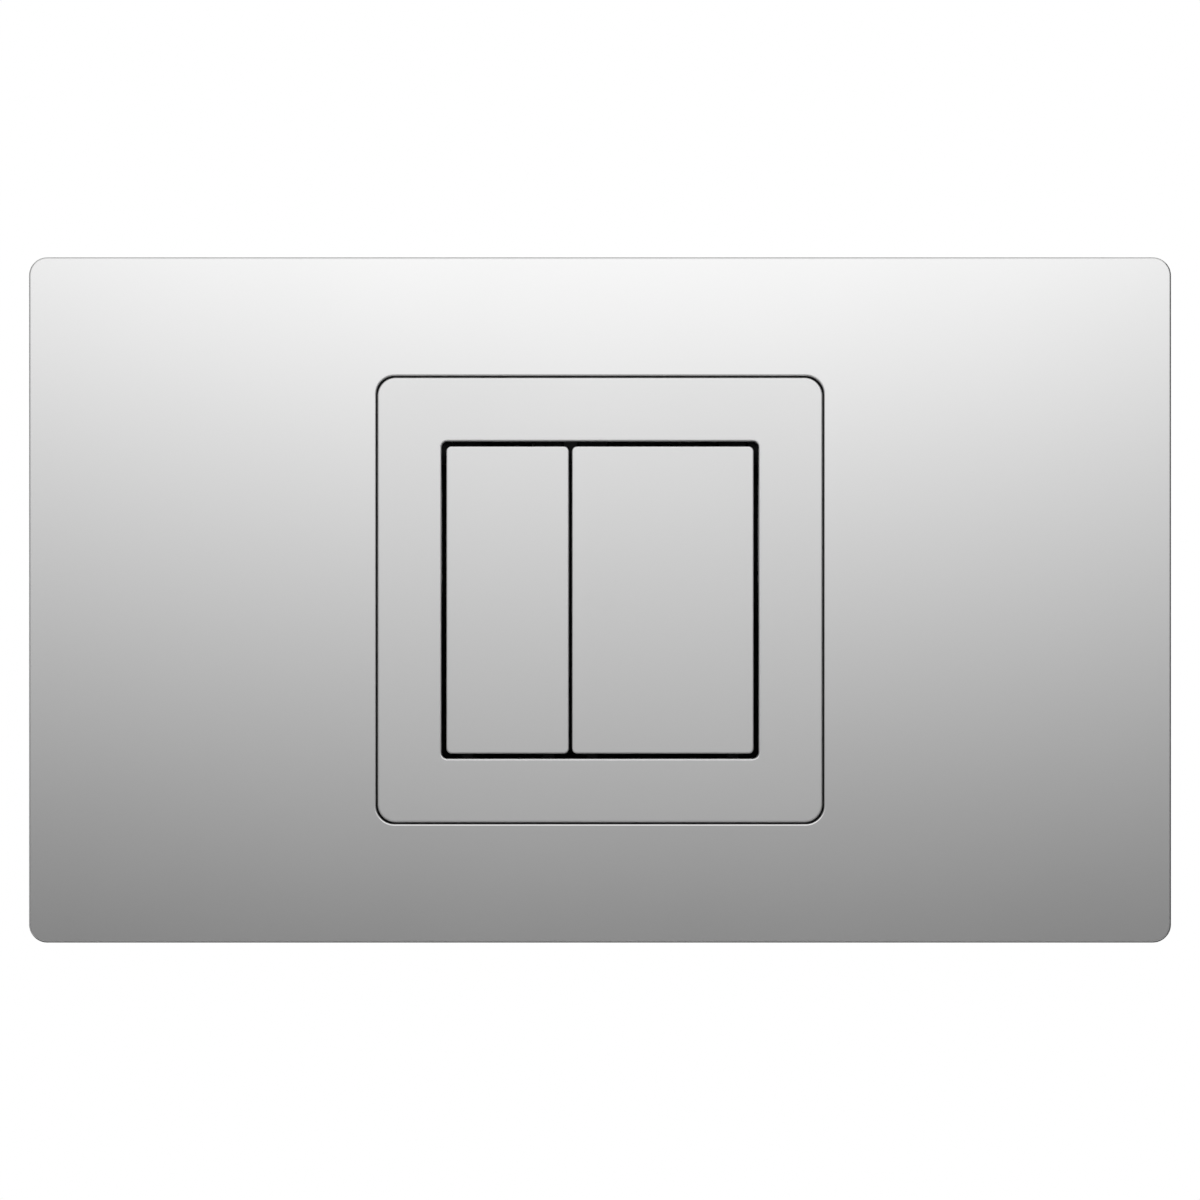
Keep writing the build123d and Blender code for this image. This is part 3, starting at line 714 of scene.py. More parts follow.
@dataclass
class SubAssembly:
    """Pieces that are made and dressed together, each standing for a CAD node."""

    pieces: dict[str, bpy.types.Object] = field(default_factory=dict, init=False)

    def build(self) -> None:
        """Make the meshes of the pieces."""
        raise NotImplementedError

    def add(self, node: str, *shells: Shell) -> None:
        """Make a piece of closed shells in the place of a node.

        Args:
            node: name of the CAD node.
            shells: its surfaces, in millimetres.
        """
        piece = self.place(node, mesh_of(f"{node}_dressed", shells))
        piece.modifiers.new("flat_faces_lead", "WEIGHTED_NORMAL").keep_sharp = True

    def add_moulding(self, node: str, edge: float, *marks: Shell) -> None:
        """Make a piece from a copy of a CAD node, with its triangles merged and its edges rounded.

        Args:
            node: name of the CAD node.
            edge: width of the rounding.
            marks: low marks on its faces, in millimetres.
        """
        source = frame["nodes"][node].data
        points = np.empty(len(source.vertices) * 3, np.float32)
        source.vertices.foreach_get("co", points)
        corners = np.empty(len(source.loops), np.int32)
        source.loops.foreach_get("vertex_index", corners)
        steps = np.round(points.reshape(-1, 3) / (WELD * MM)).astype(np.int64)
        merged, index = np.unique(steps, axis=0, return_inverse=True)
        solid = Shell(merged * WELD, index.ravel()[corners].reshape(-1, 3))
        mesh = mesh_of(f"{node}_dressed", [solid, *marks])
        mesh.validate()
        work = bmesh.new()
        work.from_mesh(mesh)
        bmesh.ops.dissolve_limit(work, angle_limit=math.radians(FLAT_DEG), verts=work.verts, edges=work.edges)
        work.to_mesh(mesh)
        work.free()
        bevel = self.place(node, mesh).modifiers.new("soft_edges", "BEVEL")
        bevel.width = edge * MM
        bevel.segments = 2
        bevel.limit_method = "ANGLE"
        bevel.angle_limit = math.radians(CREASE_DEG)
        bevel.harden_normals = True

    def place(self, node: str, mesh: bpy.types.Mesh) -> bpy.types.Object:
        """Shade a mesh and put it on the body of a node, which it stands for.

        Args:
            node: name of the CAD node.
            mesh: the finished mesh, in the frame.

        Returns:
            The object.
        """
        mesh.shade_smooth()
        mesh.set_sharp_from_angle(angle=math.radians(CREASE_DEG))
        piece = bpy.data.objects.new(mesh.name, mesh)
        bpy.context.scene.collection.objects.link(piece)
        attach(piece, frame["nodes"][node]["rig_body"])
        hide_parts(node)
        self.pieces[node] = piece
        return piece

    def dress(self) -> None:
        """Give each piece the finish of its node's slot."""
        for node, piece in self.pieces.items():
            piece.data.materials.append(material_of(SLOTS[node]))


@dataclass
class CoverPlate(SubAssembly):
    """The front plate with its rim, and the ribs, bosses and blades on its back."""

    corner_radius: float = 4.0
    edge: float = 0.5
    face: float = 2.0
    rim: float = 2.0
    rim_edge: float = 0.15
    groove: float = 0.3  # round the bezel
    hole_radius: float = 4.0
    hole_edge: float = 0.45
    rib_wall: float = 1.2
    rib_height: float = 2.4
    rib_edge: float = 0.25
    rib_space: float = 6.0  # from a thumb nut to the rib outside it
    rib_row_space: float = 18.0  # from a thumb nut to the ribs above and below it
    boss_radius: float = 2.7
    boss_height: float = 2.5
    boss_hole: float = 1.35
    screw_head_radius: float = 3.7
    blade_wall: float = 1.8
    blade_width: float = 7.0
    blade_edge: float = 0.4
    blade_end_gap: float = 1.2  # from the end of a blade to the wall

    def build(self) -> None:
        """Make the plate as one piece."""
        self.add("cover_plate", self.plate(), *self.ribs(), *self.fixings())

    @property
    def box(self) -> Box:
        """Space of the plate."""
        return Box.of("cover_plate")

    @property
    def back(self) -> float:
        """Depth of the back of the plate's face."""
        return self.box.low[Y] + self.face

    def plate(self) -> Shell:
        """The plate and its rim: one closed band of rings from the hole's edge round the rim to the front.

        Returns:
            The closed surface.
        """
        front, wall = self.box.low[Y], self.box.high[Y]
        width, _, height = self.box.size
        hole_side = Box.of("bezel_frame").size[X] + 2 * self.groove
        hole = RoundRectangle(hole_side, hole_side, self.hole_radius)
        outline = RoundRectangle(width, height, self.corner_radius)
        inner = RoundRectangle(width - 2 * self.rim, height - 2 * self.rim, self.corner_radius - self.rim)
        rings = [
            hole.rings(rounded_edge(front, self.hole_edge, hole=True)[::-1], [(0, self.back)]),
            inner.rings([(0, self.back)], rounded_edge(wall, self.rim_edge, -1, hole=True, steps=2)),
            outline.rings(
                rounded_edge(wall, self.rim_edge, -1, steps=2)[::-1],
                rounded_edge(front, self.edge, steps=8),
            ),
        ]
        return Shell.through(np.vstack(rings), closed=True)

    def ribs(self) -> list[Shell]:
        """Upright ribs to both sides of the studs, and level ribs from them to the rim.

        Returns:
            Their closed surfaces.
        """
        box, nut = self.box, Box.of("thumb_nut_right")
        inner_x = (Box.of("module_carrier").high[X] + nut.low[X]) / 2
        outer_x = nut.high[X] + self.rib_space
        row_z = nut.high[Z] + self.rib_row_space
        row_length = box.high[X] - self.rim / 2 - inner_x
        outlines = [
            RoundRectangle(self.rib_wall, box.size[Z] - self.rim, self.rib_edge, side.value * x)
            for side in Side for x in (inner_x, outer_x)
        ] + [
            RoundRectangle(row_length, self.rib_wall, self.rib_edge, x, z)
            for x, z in corner_places(inner_x + row_length / 2, row_z)
        ]
        root, top = self.back - SUNK, self.back + self.rib_height
        return [block(outline, root, top, self.rib_edge) for outline in outlines]

    def fixings(self) -> list[Shell]:
        """The bosses that take the screws and the blades that go into the clips.

        Returns:
            Their closed surfaces.
        """
        screws, clip = Box.of("carrier_screws"), Box.of("clip_upper_right")
        root, boss_end = self.back - SUNK, self.back + self.boss_height
        boss = bent([
            (self.boss_radius, root), (self.boss_radius, boss_end),
            (self.boss_hole, boss_end), (self.boss_hole, root),
        ], self.rib_edge, closed=True, steps=3)
        reach = screws.high - self.screw_head_radius
        bosses = [
            turned(Axis.INWARD, np.array([x, 0, z]), boss, closed=True)
            for x, z in corner_places(reach[X], reach[Z])
        ]
        outlines = [
            RoundRectangle(self.blade_wall, self.blade_width, self.rib_edge, x, z)
            for x, z in corner_places(clip.middle[X], clip.middle[Z])
        ]
        return bosses + [block(outline, root, -self.blade_end_gap, self.blade_edge) for outline in outlines]


@dataclass
class BezelFrame(SubAssembly):
    """The square frame round the keys, with a collar behind its opening and four hooks."""

    corner_radius: float = 4.0
    edge: float = 0.45
    face: float = 2.0
    back_edge: float = 0.15
    key_gap: float = 1.05
    opening_radius: float = 1.3
    collar_wall: float = 1.2
    collar_depth: float = 2.0
    flange: float = 2.5  # of the carrier, which the hooks reach through
    hook_wall: float = 1.4
    hook_width: float = 8.0
    hook_inset: float = 3.5
    hook_spacing: float = 44.0
    hook_nose: float = 0.7
    hook_play: float = 0.1
    hook_edge: float = 0.15

    def build(self) -> None:
        """Make the frame and its hooks as one piece."""
        self.add("bezel_frame", self.square(), *self.hooks())

    @property
    def box(self) -> Box:
        """Space of the frame."""
        return Box.of("bezel_frame")

    @property
    def back(self) -> float:
        """Depth of the back of the frame's face."""
        return self.box.low[Y] + self.face

    def square(self) -> Shell:
        """The frame: one closed band of rings from its outer edge round the collar to the opening.

        Returns:
            The closed surface.
        """
        side, front, back = self.box.size[X], self.box.low[Y], self.back
        collar_back = back + self.collar_depth
        opening_side = Box.of(Flush.LARGE.node("key_cap")).size[Z] + 2 * self.key_gap
        collar_side = opening_side + 2 * self.collar_wall
        outline = RoundRectangle(side, side, self.corner_radius)
        collar = RoundRectangle(collar_side, collar_side, self.opening_radius + self.collar_wall)
        opening = RoundRectangle(opening_side, opening_side, self.opening_radius)
        rings = [
            outline.rings(
                rounded_edge(front, self.edge)[::-1], rounded_edge(back, self.back_edge, -1, steps=2),
            ),
            collar.rings([(0, back)], rounded_edge(collar_back, self.back_edge, -1, steps=2)),
            opening.rings(
                rounded_edge(collar_back, self.back_edge, -1, hole=True, steps=2)[::-1],
                rounded_edge(front, self.edge, hole=True),
            ),
        ]
        return Shell.through(np.vstack(rings), closed=True)

    def hooks(self) -> list[Shell]:
        """Four sprung hooks with noses that catch behind the carrier's flange.

        Returns:
            Their closed surfaces: a bent outline in plan, carried upwards.
        """
        root = self.back - SUNK
        middle_x = self.box.high[X] - self.hook_inset
        inner, outer = middle_x - self.hook_wall / 2, middle_x + self.hook_wall / 2
        catch, tip = self.back + self.flange + self.hook_play, self.box.high[Y]
        outline = bent([
            (inner, root), (outer, root), (outer, catch), (outer + self.hook_nose, catch),
            (outer, tip), (inner, tip),
        ], self.hook_edge, closed=True, steps=3)
        hooks = []
        for side, level in corner_places(1, self.hook_spacing / 2):
            heights = level + self.hook_width / 2 * np.array([[[-1]], [[1]]])
            plan = np.broadcast_to(outline * (side, 1), (2, *outline.shape))
            rings = np.concatenate([plan, np.broadcast_to(heights, (2, len(outline), 1))], axis=-1)
            hooks.append(Shell.through(rings))
        return hooks


@dataclass
class Key(SubAssembly):
    """One key: the cap that is pressed, and the rocker in it that swings on the axle."""

    flush: Flush = Flush.SMALL
    corner_radius: float = 1.15
    edge: float = 0.4
    face: float = 1.8
    skirt: float = 1.4
    skirt_edge: float = 0.15
    cavity_radius: float = 0.3
    rocker_edge: float = 0.18

    def build(self) -> None:
        """Make the cap from rings that run from its face over the skirt into the cavity, and the rocker."""
        box = Box.of(self.flush.node("key_cap"))
        front, back = box.low[Y], box.high[Y]
        width, _, height = box.size
        place = (box.middle[X], box.middle[Z])
        outline = RoundRectangle(width, height, self.corner_radius, *place)
        cavity = RoundRectangle(width - 2 * self.skirt, height - 2 * self.skirt, self.cavity_radius, *place)
        rings = [
            outline.rings(
                rounded_edge(front, self.edge)[::-1], rounded_edge(back, self.skirt_edge, -1, steps=2),
            ),
            cavity.rings(
                rounded_edge(back, self.skirt_edge, -1, hole=True, steps=2)[::-1], [(0, front + self.face)],
            ),
        ]
        self.add(self.flush.node("key_cap"), Shell.through(np.vstack(rings)))
        self.add_moulding(self.flush.node("rocker"), self.rocker_edge)


@dataclass
class Hinge(SubAssembly):
    """The axle of both keys, the rings on its ends, and the rubber buffers that the keys rest on."""

    axle_radius: float = 1.5
    axle_chamfer: float = 0.35
    ring_fit: float = 0.05
    ring_wall: float = 0.8
    ring_edge: float = 0.12
    ring_slots: int = 6
    slot_depth: float = 0.5
    slot_share: float = 0.3  # of the inner edge
    slot_points: int = 20  # from one slot to the next
    web_inset: float = 4.5  # from the side of a key to the middle of a buffer
    buffer_width: float = 5.0
    buffer_radius: float = 0.4
    buffer_edge: float = 0.25

    def build(self) -> None:
        """Make the axle, its two rings and the four buffers."""
        self.add("hinge_axle", self.axle())
        self.add("axle_clips", *self.rings())
        self.add("stop_buffers", *self.buffers())

    @property
    def line(self) -> Array:
        """The point of the axle's line that lies in the upright middle plane."""
        return Box.of("hinge_axle").middle * (0, 1, 1)

    def axle(self) -> Shell:
        """A turned pin with chamfered ends.

        Returns:
            The closed surface.
        """
        box = Box.of("hinge_axle")
        left, right = box.low[X], box.high[X]
        thin = self.axle_radius - self.axle_chamfer
        return turned(Axis.ACROSS, self.line, [
            (thin, left), (self.axle_radius, left + self.axle_chamfer),
            (self.axle_radius, right - self.axle_chamfer), (thin, right),
        ])

    def rings(self) -> list[Shell]:
        """Push-on rings: a rounded section turned about the axle, its inner edge cut by even slots.

        Returns:
            Their closed surfaces.
        """
        box = Box.of("axle_clips")
        inner, outer = self.axle_radius + self.ring_fit, box.size[Z] / 2
        far = box.high[X]
        near = far - self.ring_wall
        section = bent(
            [(outer, near), (outer, far), (inner, far), (inner, near)], self.ring_edge, closed=True, steps=3
        )
        radius, along = section.T[:, :, None]
        angle = full_turn(self.slot_points * self.ring_slots)
        in_slot = (angle * self.ring_slots / TURN) % 1 < self.slot_share
        radius = radius + self.slot_depth * in_slot * (radius < (inner + outer) / 2)
        return [
            revolved(Axis.ACROSS, self.line, angle, radius, side.value * along, closed=True) for side in Side
        ]

    def buffers(self) -> list[Shell]:
        """Four pads with soft edges on the carrier, two behind each key.

        Returns:
            Their closed surfaces.
        """
        box = Box.of("stop_buffers")
        pads = []
        for flush in Flush:
            key = Box.of(flush.node("key_cap"))
            for x in (key.low[X] + self.web_inset, key.high[X] - self.web_inset):
                outline = RoundRectangle(self.buffer_width, box.size[Z], self.buffer_radius, x, box.middle[Z])
                pads.append(block(outline, box.low[Y], box.high[Y], self.buffer_edge))
        return pads


@dataclass
class Actuator(SubAssembly):
    """What a key pushes: plunger, return spring, threaded rod, lock nut and rubber tip."""

    flush: Flush = Flush.SMALL
    dome_radius: float = 14.0
    dome_start: float = 0.5  # radius at which a flat spot closes the dome
    dome_steps: int = 13
    head_height: float = 3.5
    stem_radius: float = 4.5
    bore_radius: float = 3.05
    bore_depth: float = 16.0
    soft_edge: float = 0.3
    rod_chamfer: float = 0.6
    thread_pitch: float = 1.0
    thread_depth: float = 0.5
    nut_sides: int = 6
    nut_flats: float = 12.0  # across two of them
    nut_corner: float = 6.85  # radius to the rounded corners
    nut_chamfer: float = 5.75  # radius at which the chamfer meets the end face
    nut_slope: float = math.sqrt(3)  # of the chamfer, at 30 degrees to the end face
    nut_points: int = 144
    chamfer_steps: int = 8
    tip_wall: float = 3.0
    tip_round: float = 1.0
    wire: float = 0.9
    wire_points: int = 14
    coil_radius: float = 5.6
    turns: int = 6
    turn_points: int = 48
    pressed_travel: float = 5.4

    def build(self) -> None:
        """Make the five pieces."""
        self.add(self.flush.node("plunger"), turned(Axis.INWARD, self.centre, self.plunger_profile()))
        self.add(self.flush.node("push_rod"), self.rod())
        self.add(self.flush.node("lock_nut"), self.nut())
        self.add(self.flush.node("rod_tip"), turned(Axis.INWARD, self.centre, self.tip_profile()))
        self.spring()

    @property
    def centre(self) -> Array:
        """The point of the axis that lies on the wall face."""
        return Box.of(self.flush.node("plunger")).axis_point()

    def reach(self, piece: str) -> tuple[float, float, float]:
        """Where a piece starts and ends along the axis, and its radius.

        Args:
            piece: kind of the piece.

        Returns:
            Its near end, its far end and half its width.
        """
        box = Box.of(self.flush.node(piece))
        return box.low[Y], box.high[Y], box.size[X] / 2

    def plunger_profile(self) -> Array:
        """Domed head, stem and bore: the dome's depth is R - sqrt(R * R - r * r) at radius r.

        Returns:
            Pairs of radius and place along the axis.
        """
        front, back, head = self.reach("plunger")
        r = np.linspace(self.dome_start, head, self.dome_steps + 1)
        dome = np.column_stack([r, front + self.dome_radius - np.sqrt(self.dome_radius**2 - r**2)])
        head_back = front + self.head_height
        body = bent([
            dome[-2], dome[-1], (head, head_back), (self.stem_radius, head_back), (self.stem_radius, back),
            (self.bore_radius, back), (self.bore_radius, back - self.bore_depth),
        ], self.soft_edge, steps=3)
        return np.vstack([dome[:-1], body[1:]])

    def rod(self) -> Shell:
        """The threaded rod, chamfered at its far end.

        Returns:
            The closed surface.
        """
        near, far, radius = self.reach("push_rod")
        knots = [(near, radius), (far - self.rod_chamfer, radius), (far, radius - self.rod_chamfer)]
        thread = Thread(near, far, self.thread_pitch, self.thread_depth)
        return threaded_bar(self.centre, knots, [thread])

    def nut(self) -> Shell:
        """The lock nut: radius flats / 2 / cos(angle from the middle of a flat), cut by a chamfer cone.

        Returns:
            The closed surface.
        """
        near, far, _ = self.reach("lock_nut")
        angle = full_turn(self.nut_points)
        from_flat = from_nearest(angle, self.nut_sides)
        hexagon = np.minimum(self.nut_flats / 2 / np.cos(from_flat), self.nut_corner)
        cone = np.linspace(self.nut_chamfer, self.nut_corner, self.chamfer_steps)
        rise = (cone - self.nut_chamfer) / self.nut_slope
        outer = np.minimum(hexagon, np.concatenate([cone, cone[::-1]])[:, None])
        inner = np.full((2, len(angle)), self.bore_radius)
        along = np.concatenate([near + rise, (far - rise)[::-1], [far, near]])[:, None]
        return revolved(Axis.INWARD, self.centre, angle, np.vstack([outer, inner]), along, closed=True)

    def tip_profile(self) -> Array:
        """Rubber cap with a round end and a bore for the rod.

        Returns:
            Pairs of radius and place along the axis.
        """
        near, far, radius = self.reach("rod_tip")
        return bent([
            (self.dome_start, far), (radius, far), (radius, near), (self.bore_radius, near),
            (self.bore_radius, far - self.tip_wall),
        ], np.array([self.tip_round, self.soft_edge, self.soft_edge]))

    def spring(self) -> None:
        """Round wire on a helix whose first and last coil lie close.

        The rise is one wire over the first turn and over the last, and even between them.
        """
        node = self.flush.node("return_spring")
        start, end, _ = self.reach("return_spring")
        near, far = start + self.wire / 2, end - self.wire / 2
        turn = np.linspace(0, self.turns, self.turn_points * self.turns + 1)
        closed_turns = [0, 1, self.turns - 1, self.turns]
        rise = np.interp(turn, closed_turns, [near, near + self.wire, far - self.wire, far])
        angle = TURN * turn[:, None]
        way, side, up = np.array(Axis.INWARD.value, float)
        outward = np.cos(angle) * side + np.sin(angle) * up
        path = self.centre + rise[:, None] * way + self.coil_radius * outward
        round_wire = full_turn(self.wire_points)
        section = np.column_stack([np.cos(round_wire), np.sin(round_wire)]) * self.wire / 2
        self.add(node, swept(path, outward, np.broadcast_to(way, path.shape), section))
        anchor = tuple((self.centre + (0, end, 0)) * MM)
        slide = self.flush.node("rod_slide")
        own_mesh(self.pieces[node])


@dataclass
class CarrierModule(SubAssembly):
    """The moulded carrier behind the plate and the screws that hold it."""

    edge: float = 0.22
    tub_back: float = 16.65
    pin_columns: tuple[float, ...] = (-33.5, -3.0, 33.5)
    pin_rows: tuple[float, ...] = (-36.0, 33.0)
    head_radius: float = 3.7
    head_height: float = 1.8
    head_round: float = 0.6
    shank_radius: float = 1.3
    shank_taper: float = 0.4
    recess_length: float = 4.0
    recess_width: float = 0.9
    recess_depth: float = 1.0
    recess_draft: float = 0.9  # share of the recess's outline at its floor
    screw_points: int = 72

    def build(self) -> None:
        """Make the carrier with the marks on the back of its tub, and the four screws."""
        marked = [(x, z) for x in self.pin_columns for z in self.pin_rows]
        self.add_moulding("module_carrier", self.edge, *EjectorPin().marks(marked, self.tub_back))
        box = Box.of("carrier_screws")
        places = corner_places(box.high[X] - self.head_radius, box.high[Z] - self.head_radius)
        self.add("carrier_screws", *[self.screw(box, np.array([x, 0, z])) for x, z in places])

    def screw(self, box: Box, centre: Array) -> Shell:
        """A pan-head screw: rings of constant radius up to the head, then the outline of the cross recess.

        Two bars of half length a and half width w cross. Seen from the middle, a bar ends at the lesser of
        a / cos(angle) and w / sin(angle), and the cross at the greater of the two bars' ends.

        Args:
            box: space of all the screws.
            centre: point on the screw's axis.

        Returns:
            The closed surface.
        """
        tip, top = box.low[Y], box.high[Y]
        seat = top - self.head_height
        length, width = self.recess_length / 2, self.recess_width / 2
        corner = math.atan2(width, length)
        exact = np.array([corner, TURN / 8, TURN / 4 - corner])
        angle = np.union1d(full_turn(self.screw_points), (exact + np.arange(4)[:, None] * TURN / 4).ravel())
        cosine, sine = np.maximum(np.abs([np.cos(angle), np.sin(angle)]), np.finfo(float).eps)
        level, upright = np.minimum([length / cosine, width / cosine], [width / sine, length / sine])
        cross = np.maximum(level, upright)
        dome = rounded_edge(top, self.head_round, -1)
        round_rows = np.vstack([
            [(self.shank_radius - self.shank_taper, tip), (self.shank_radius, tip + self.shank_taper),
             (self.shank_radius, seat), (self.head_radius, seat)],
            np.column_stack([self.head_radius - dome[:, 0], dome[:, 1]]),
        ])
        radius = np.vstack([round_rows[:, :1] * np.ones_like(angle), cross, cross * self.recess_draft])
        along = np.concatenate([round_rows[:, 1], [top, top - self.recess_depth]])[:, None]
        return revolved(Axis.INWARD, centre, angle, radius, along)


@dataclass
class MountingSet(SubAssembly):
    """What is fixed to the wall first: frame, studs, thumb nuts and the clips for the plate's blades."""

    frame_edge: float = 0.22
    panel: float = 1.8
    pin_inset: float = 13.0  # from the sides of the frame
    pin_rows: tuple[float, ...] = (12.5, 47.0)
    bar_pin_inset: float = 10.0  # from the top and the bottom of the frame
    bar_pin_space: float = 45.0
    stud_radius: float = 3.0
    neck_radius: float = 2.5
    shoulder: float = 1.5  # behind the wall face
    stud_chamfer: float = 0.8
    neck_chamfer: float = 0.4
    stud_pitch: float = 1.0
    stud_groove: float = 0.5
    neck_pitch: float = 0.8
    neck_groove: float = 0.4
    flutes: int = 18
    flute_radius: float = 0.8
    flute_points: int = 14  # from one flute to the next
    nut_edge: float = 0.4
    nut_bore: float = 2.55
    sheet: float = 0.5  # of a clip
    clip_base: float = 5.3
    clip_leg: float = 2.0
    clip_bend: float = 0.6
    clip_flare: float = 1.0
    clip_tongue: float = 1.4
    sheet_edge: float = 0.1

    def build(self) -> None:
        """Make the frame, and on each side the stud, its nut and two clips."""
        self.add_moulding("mounting_frame", self.frame_edge, *self.pin_marks())
        for side in Side:
            name = side.name.lower()
            shapes = {f"fixing_stud_{name}": self.stud, f"thumb_nut_{name}": self.nut}
            shapes |= {f"clip_{level.name.lower()}_{name}": self.clip for level in Level}
            for node, shape in shapes.items():
                self.add(node, shape(Box.of(node)))

    def pin_marks(self) -> list[Shell]:
        """Marks of the ejector pins on the back of the frame's panel.

        Returns:
            Their closed surfaces.
        """
        box = Box.of("mounting_frame")
        bar = box.high[Z] - self.bar_pin_inset
        places = corner_places(self.bar_pin_space, bar) + [(0.0, -bar), (0.0, bar)]
        for row in self.pin_rows:
            places += corner_places(box.high[X] - self.pin_inset, row)
        return EjectorPin().marks(places, box.low[Y] + self.panel)

    def stud(self, box: Box) -> Shell:
        """A stud with a thinner neck towards the room, threaded on both.

        Args:
            box: space of the stud.

        Returns:
            The closed surface.
        """
        near, far = box.low[Y], box.high[Y]
        step = 1 / THREAD_ROWS
        knots = [
            (near, self.neck_radius - self.neck_chamfer), (near + self.neck_chamfer, self.neck_radius),
            (self.shoulder - step, self.neck_radius), (self.shoulder, self.stud_radius),
            (far - self.stud_chamfer, self.stud_radius), (far, self.stud_radius - self.stud_chamfer),
        ]
        threads = [
            Thread(near, self.shoulder, self.neck_pitch, self.neck_groove),
            Thread(self.shoulder, far, self.stud_pitch, self.stud_groove),
        ]
        return threaded_bar(box.axis_point(), knots, threads)

    def nut(self, box: Box) -> Shell:
        """A thumb nut: at angle a from a flute's middle the rim lies at R cos a - sqrt(f * f - (R sin a)^2).

        Args:
            box: space of the nut.

        Returns:
            The closed surface.
        """
        near, far, reach = box.low[Y], box.high[Y], box.size[Z] / 2
        angle = full_turn(self.flute_points * self.flutes)
        from_flute = from_nearest(angle - TURN / 4, self.flutes)
        cut = self.flute_radius**2 - (reach * np.sin(from_flute)) ** 2
        rim = np.where(cut > 0, reach * np.cos(from_flute) - np.sqrt(np.maximum(cut, 0)), reach)
        near_edge = rounded_edge(near, self.nut_edge, steps=4)[::-1]
        edges = np.vstack([near_edge, rounded_edge(far, self.nut_edge, -1, steps=4)])
        radius = np.vstack([rim - edges[:, :1], np.full((2, len(angle)), self.nut_bore)])
        along = np.concatenate([edges[:, 1], [far, near]])[:, None]
        return revolved(Axis.INWARD, box.axis_point(), angle, radius, along, closed=True)

    def clip(self, box: Box) -> Shell:
        """A leaf clip: a strip bent in plan, with legs that lean in to a pinch and flare out at the tips.

        Args:
            box: space of the clip.

        Returns:
            The closed surface.
        """
        half = self.sheet / 2
        back = box.high[Y] - half
        base = (self.clip_base - self.sheet) / 2
        flare = math.atan2(self.clip_flare, self.clip_tongue)
        tip, tip_depth = box.size[X] / 2 - half * math.cos(flare), box.low[Y] + half * math.sin(flare)
        right = np.array([
            (base, back), (base, back - self.clip_leg), (tip - self.clip_flare, tip_depth + self.clip_tongue),
            (tip, tip_depth),
        ])
        plan = bent(np.vstack([right[::-1] * (-1, 1), right]), self.clip_bend, steps=6)
        run = np.gradient(plan, axis=0)
        run /= np.linalg.norm(run, axis=1)[:, None]
        level = np.zeros((len(plan), 1))
        path = np.hstack([plan, level]) + box.middle * (1, 0, 1)
        side = np.hstack([-run[:, 1:], run[:, :1], level])
        lift = np.broadcast_to([0.0, 0.0, 1.0], path.shape)
        section = RoundRectangle(self.sheet, box.size[Z], self.sheet_edge, steps=3).loop()
        return swept(path, side, lift, section)


def smooth_step(value: Array, start: float, end: float) -> Array:
    """Go from 0 at a start to 1 at an end, without a kink: 3 t^2 - 2 t^3.

    Args:
        value: what counts from the start to the end.
        start: where the rise starts.
        end: where it ends.

    Returns:
        The height of the rise at each value.
    """
    share = np.clip((value - start) / (end - start), 0, 1)
    return share**2 * (3 - 2 * share)


@dataclass(frozen=True)
class Sheet:
    """A flat sheet of the stage, square to one axis. Lengths are in metres."""

    name: str
    low: Place
    high: Place
    steps: int = 1  # of its grid

    def values(self, points: Array) -> dict[str, Array]:
        """What the sheet's material reads at each point, by name."""
        return {}

    def shader(self, tree: Tree) -> Socket:
        """The sheet's surface, as a socket of its material's tree."""
        raise NotImplementedError

    def build(self) -> bpy.types.Object:
        """Make the sheet: a grid of points from corner to corner, with the values that its material reads.

        Returns:
            The object.
        """
        low, high = np.array(self.low), np.array(self.high)
        first, second = np.delete(np.diag(high - low), np.argmin(high - low), axis=0)
        share = np.linspace(0, 1, self.steps + 1)[:, None]
        points = low + share[:, None] * second + share * first
        index = np.arange(len(share) ** 2).reshape(len(share), -1)
        quads = np.stack([index[:-1, :-1], index[:-1, 1:], index[1:, 1:], index[1:, :-1]], axis=-1)
        mesh = bpy.data.meshes.new(self.name)
        mesh.from_pydata(points.reshape(-1, 3), [], quads.reshape(-1, 4).tolist())
        for name, values in self.values(points).items():
            mesh.attributes.new(name, "FLOAT", "POINT").data.foreach_set("value", values.ravel())
        material = bpy.data.materials.new(self.name)
        material.use_nodes = True
        material.node_tree.nodes.clear()
        add_node(material.node_tree, "ShaderNodeOutputMaterial", {"Surface": self.shader(material.node_tree)})
        mesh.materials.append(material)
        sheet = bpy.data.objects.new(self.name, mesh)
        bpy.context.scene.collection.objects.link(sheet)
        return sheet


@dataclass(frozen=True)
class Floor(Sheet):
    """A pale floor that turns into the white surroundings away from the plate."""

    colour: str = "#E6E6E6"
    roughness: float = 0.8
    fade: tuple[float, float] = (0.7, 2.3)  # where it starts to turn white, and where it is white

    def values(self, points: Array) -> dict[str, Array]:
        """How white the floor is, by the distance from its middle."""
        return {"white": smooth_step(np.hypot(points[..., X], points[..., Y]), *self.fade)}

    def shader(self, tree: Tree) -> Socket:
        """The pale surface, mixed with a white glow.

        Args:
            tree: the material's tree.

        Returns:
            The mixed surface.
        """
        pale = add_node(tree, "ShaderNodeBsdfPrincipled", {
            "Base Color": linear(self.colour), "Roughness": self.roughness,
        })
        glow = add_node(tree, "ShaderNodeEmission", {})
        white = add_node(tree, "ShaderNodeAttribute", {}, attribute_name="white")
        return add_node(tree, "ShaderNodeMixShader", {
            0: white.outputs["Fac"], 1: pale.outputs["BSDF"], 2: glow.outputs["Emission"],
        }).outputs["Shader"]


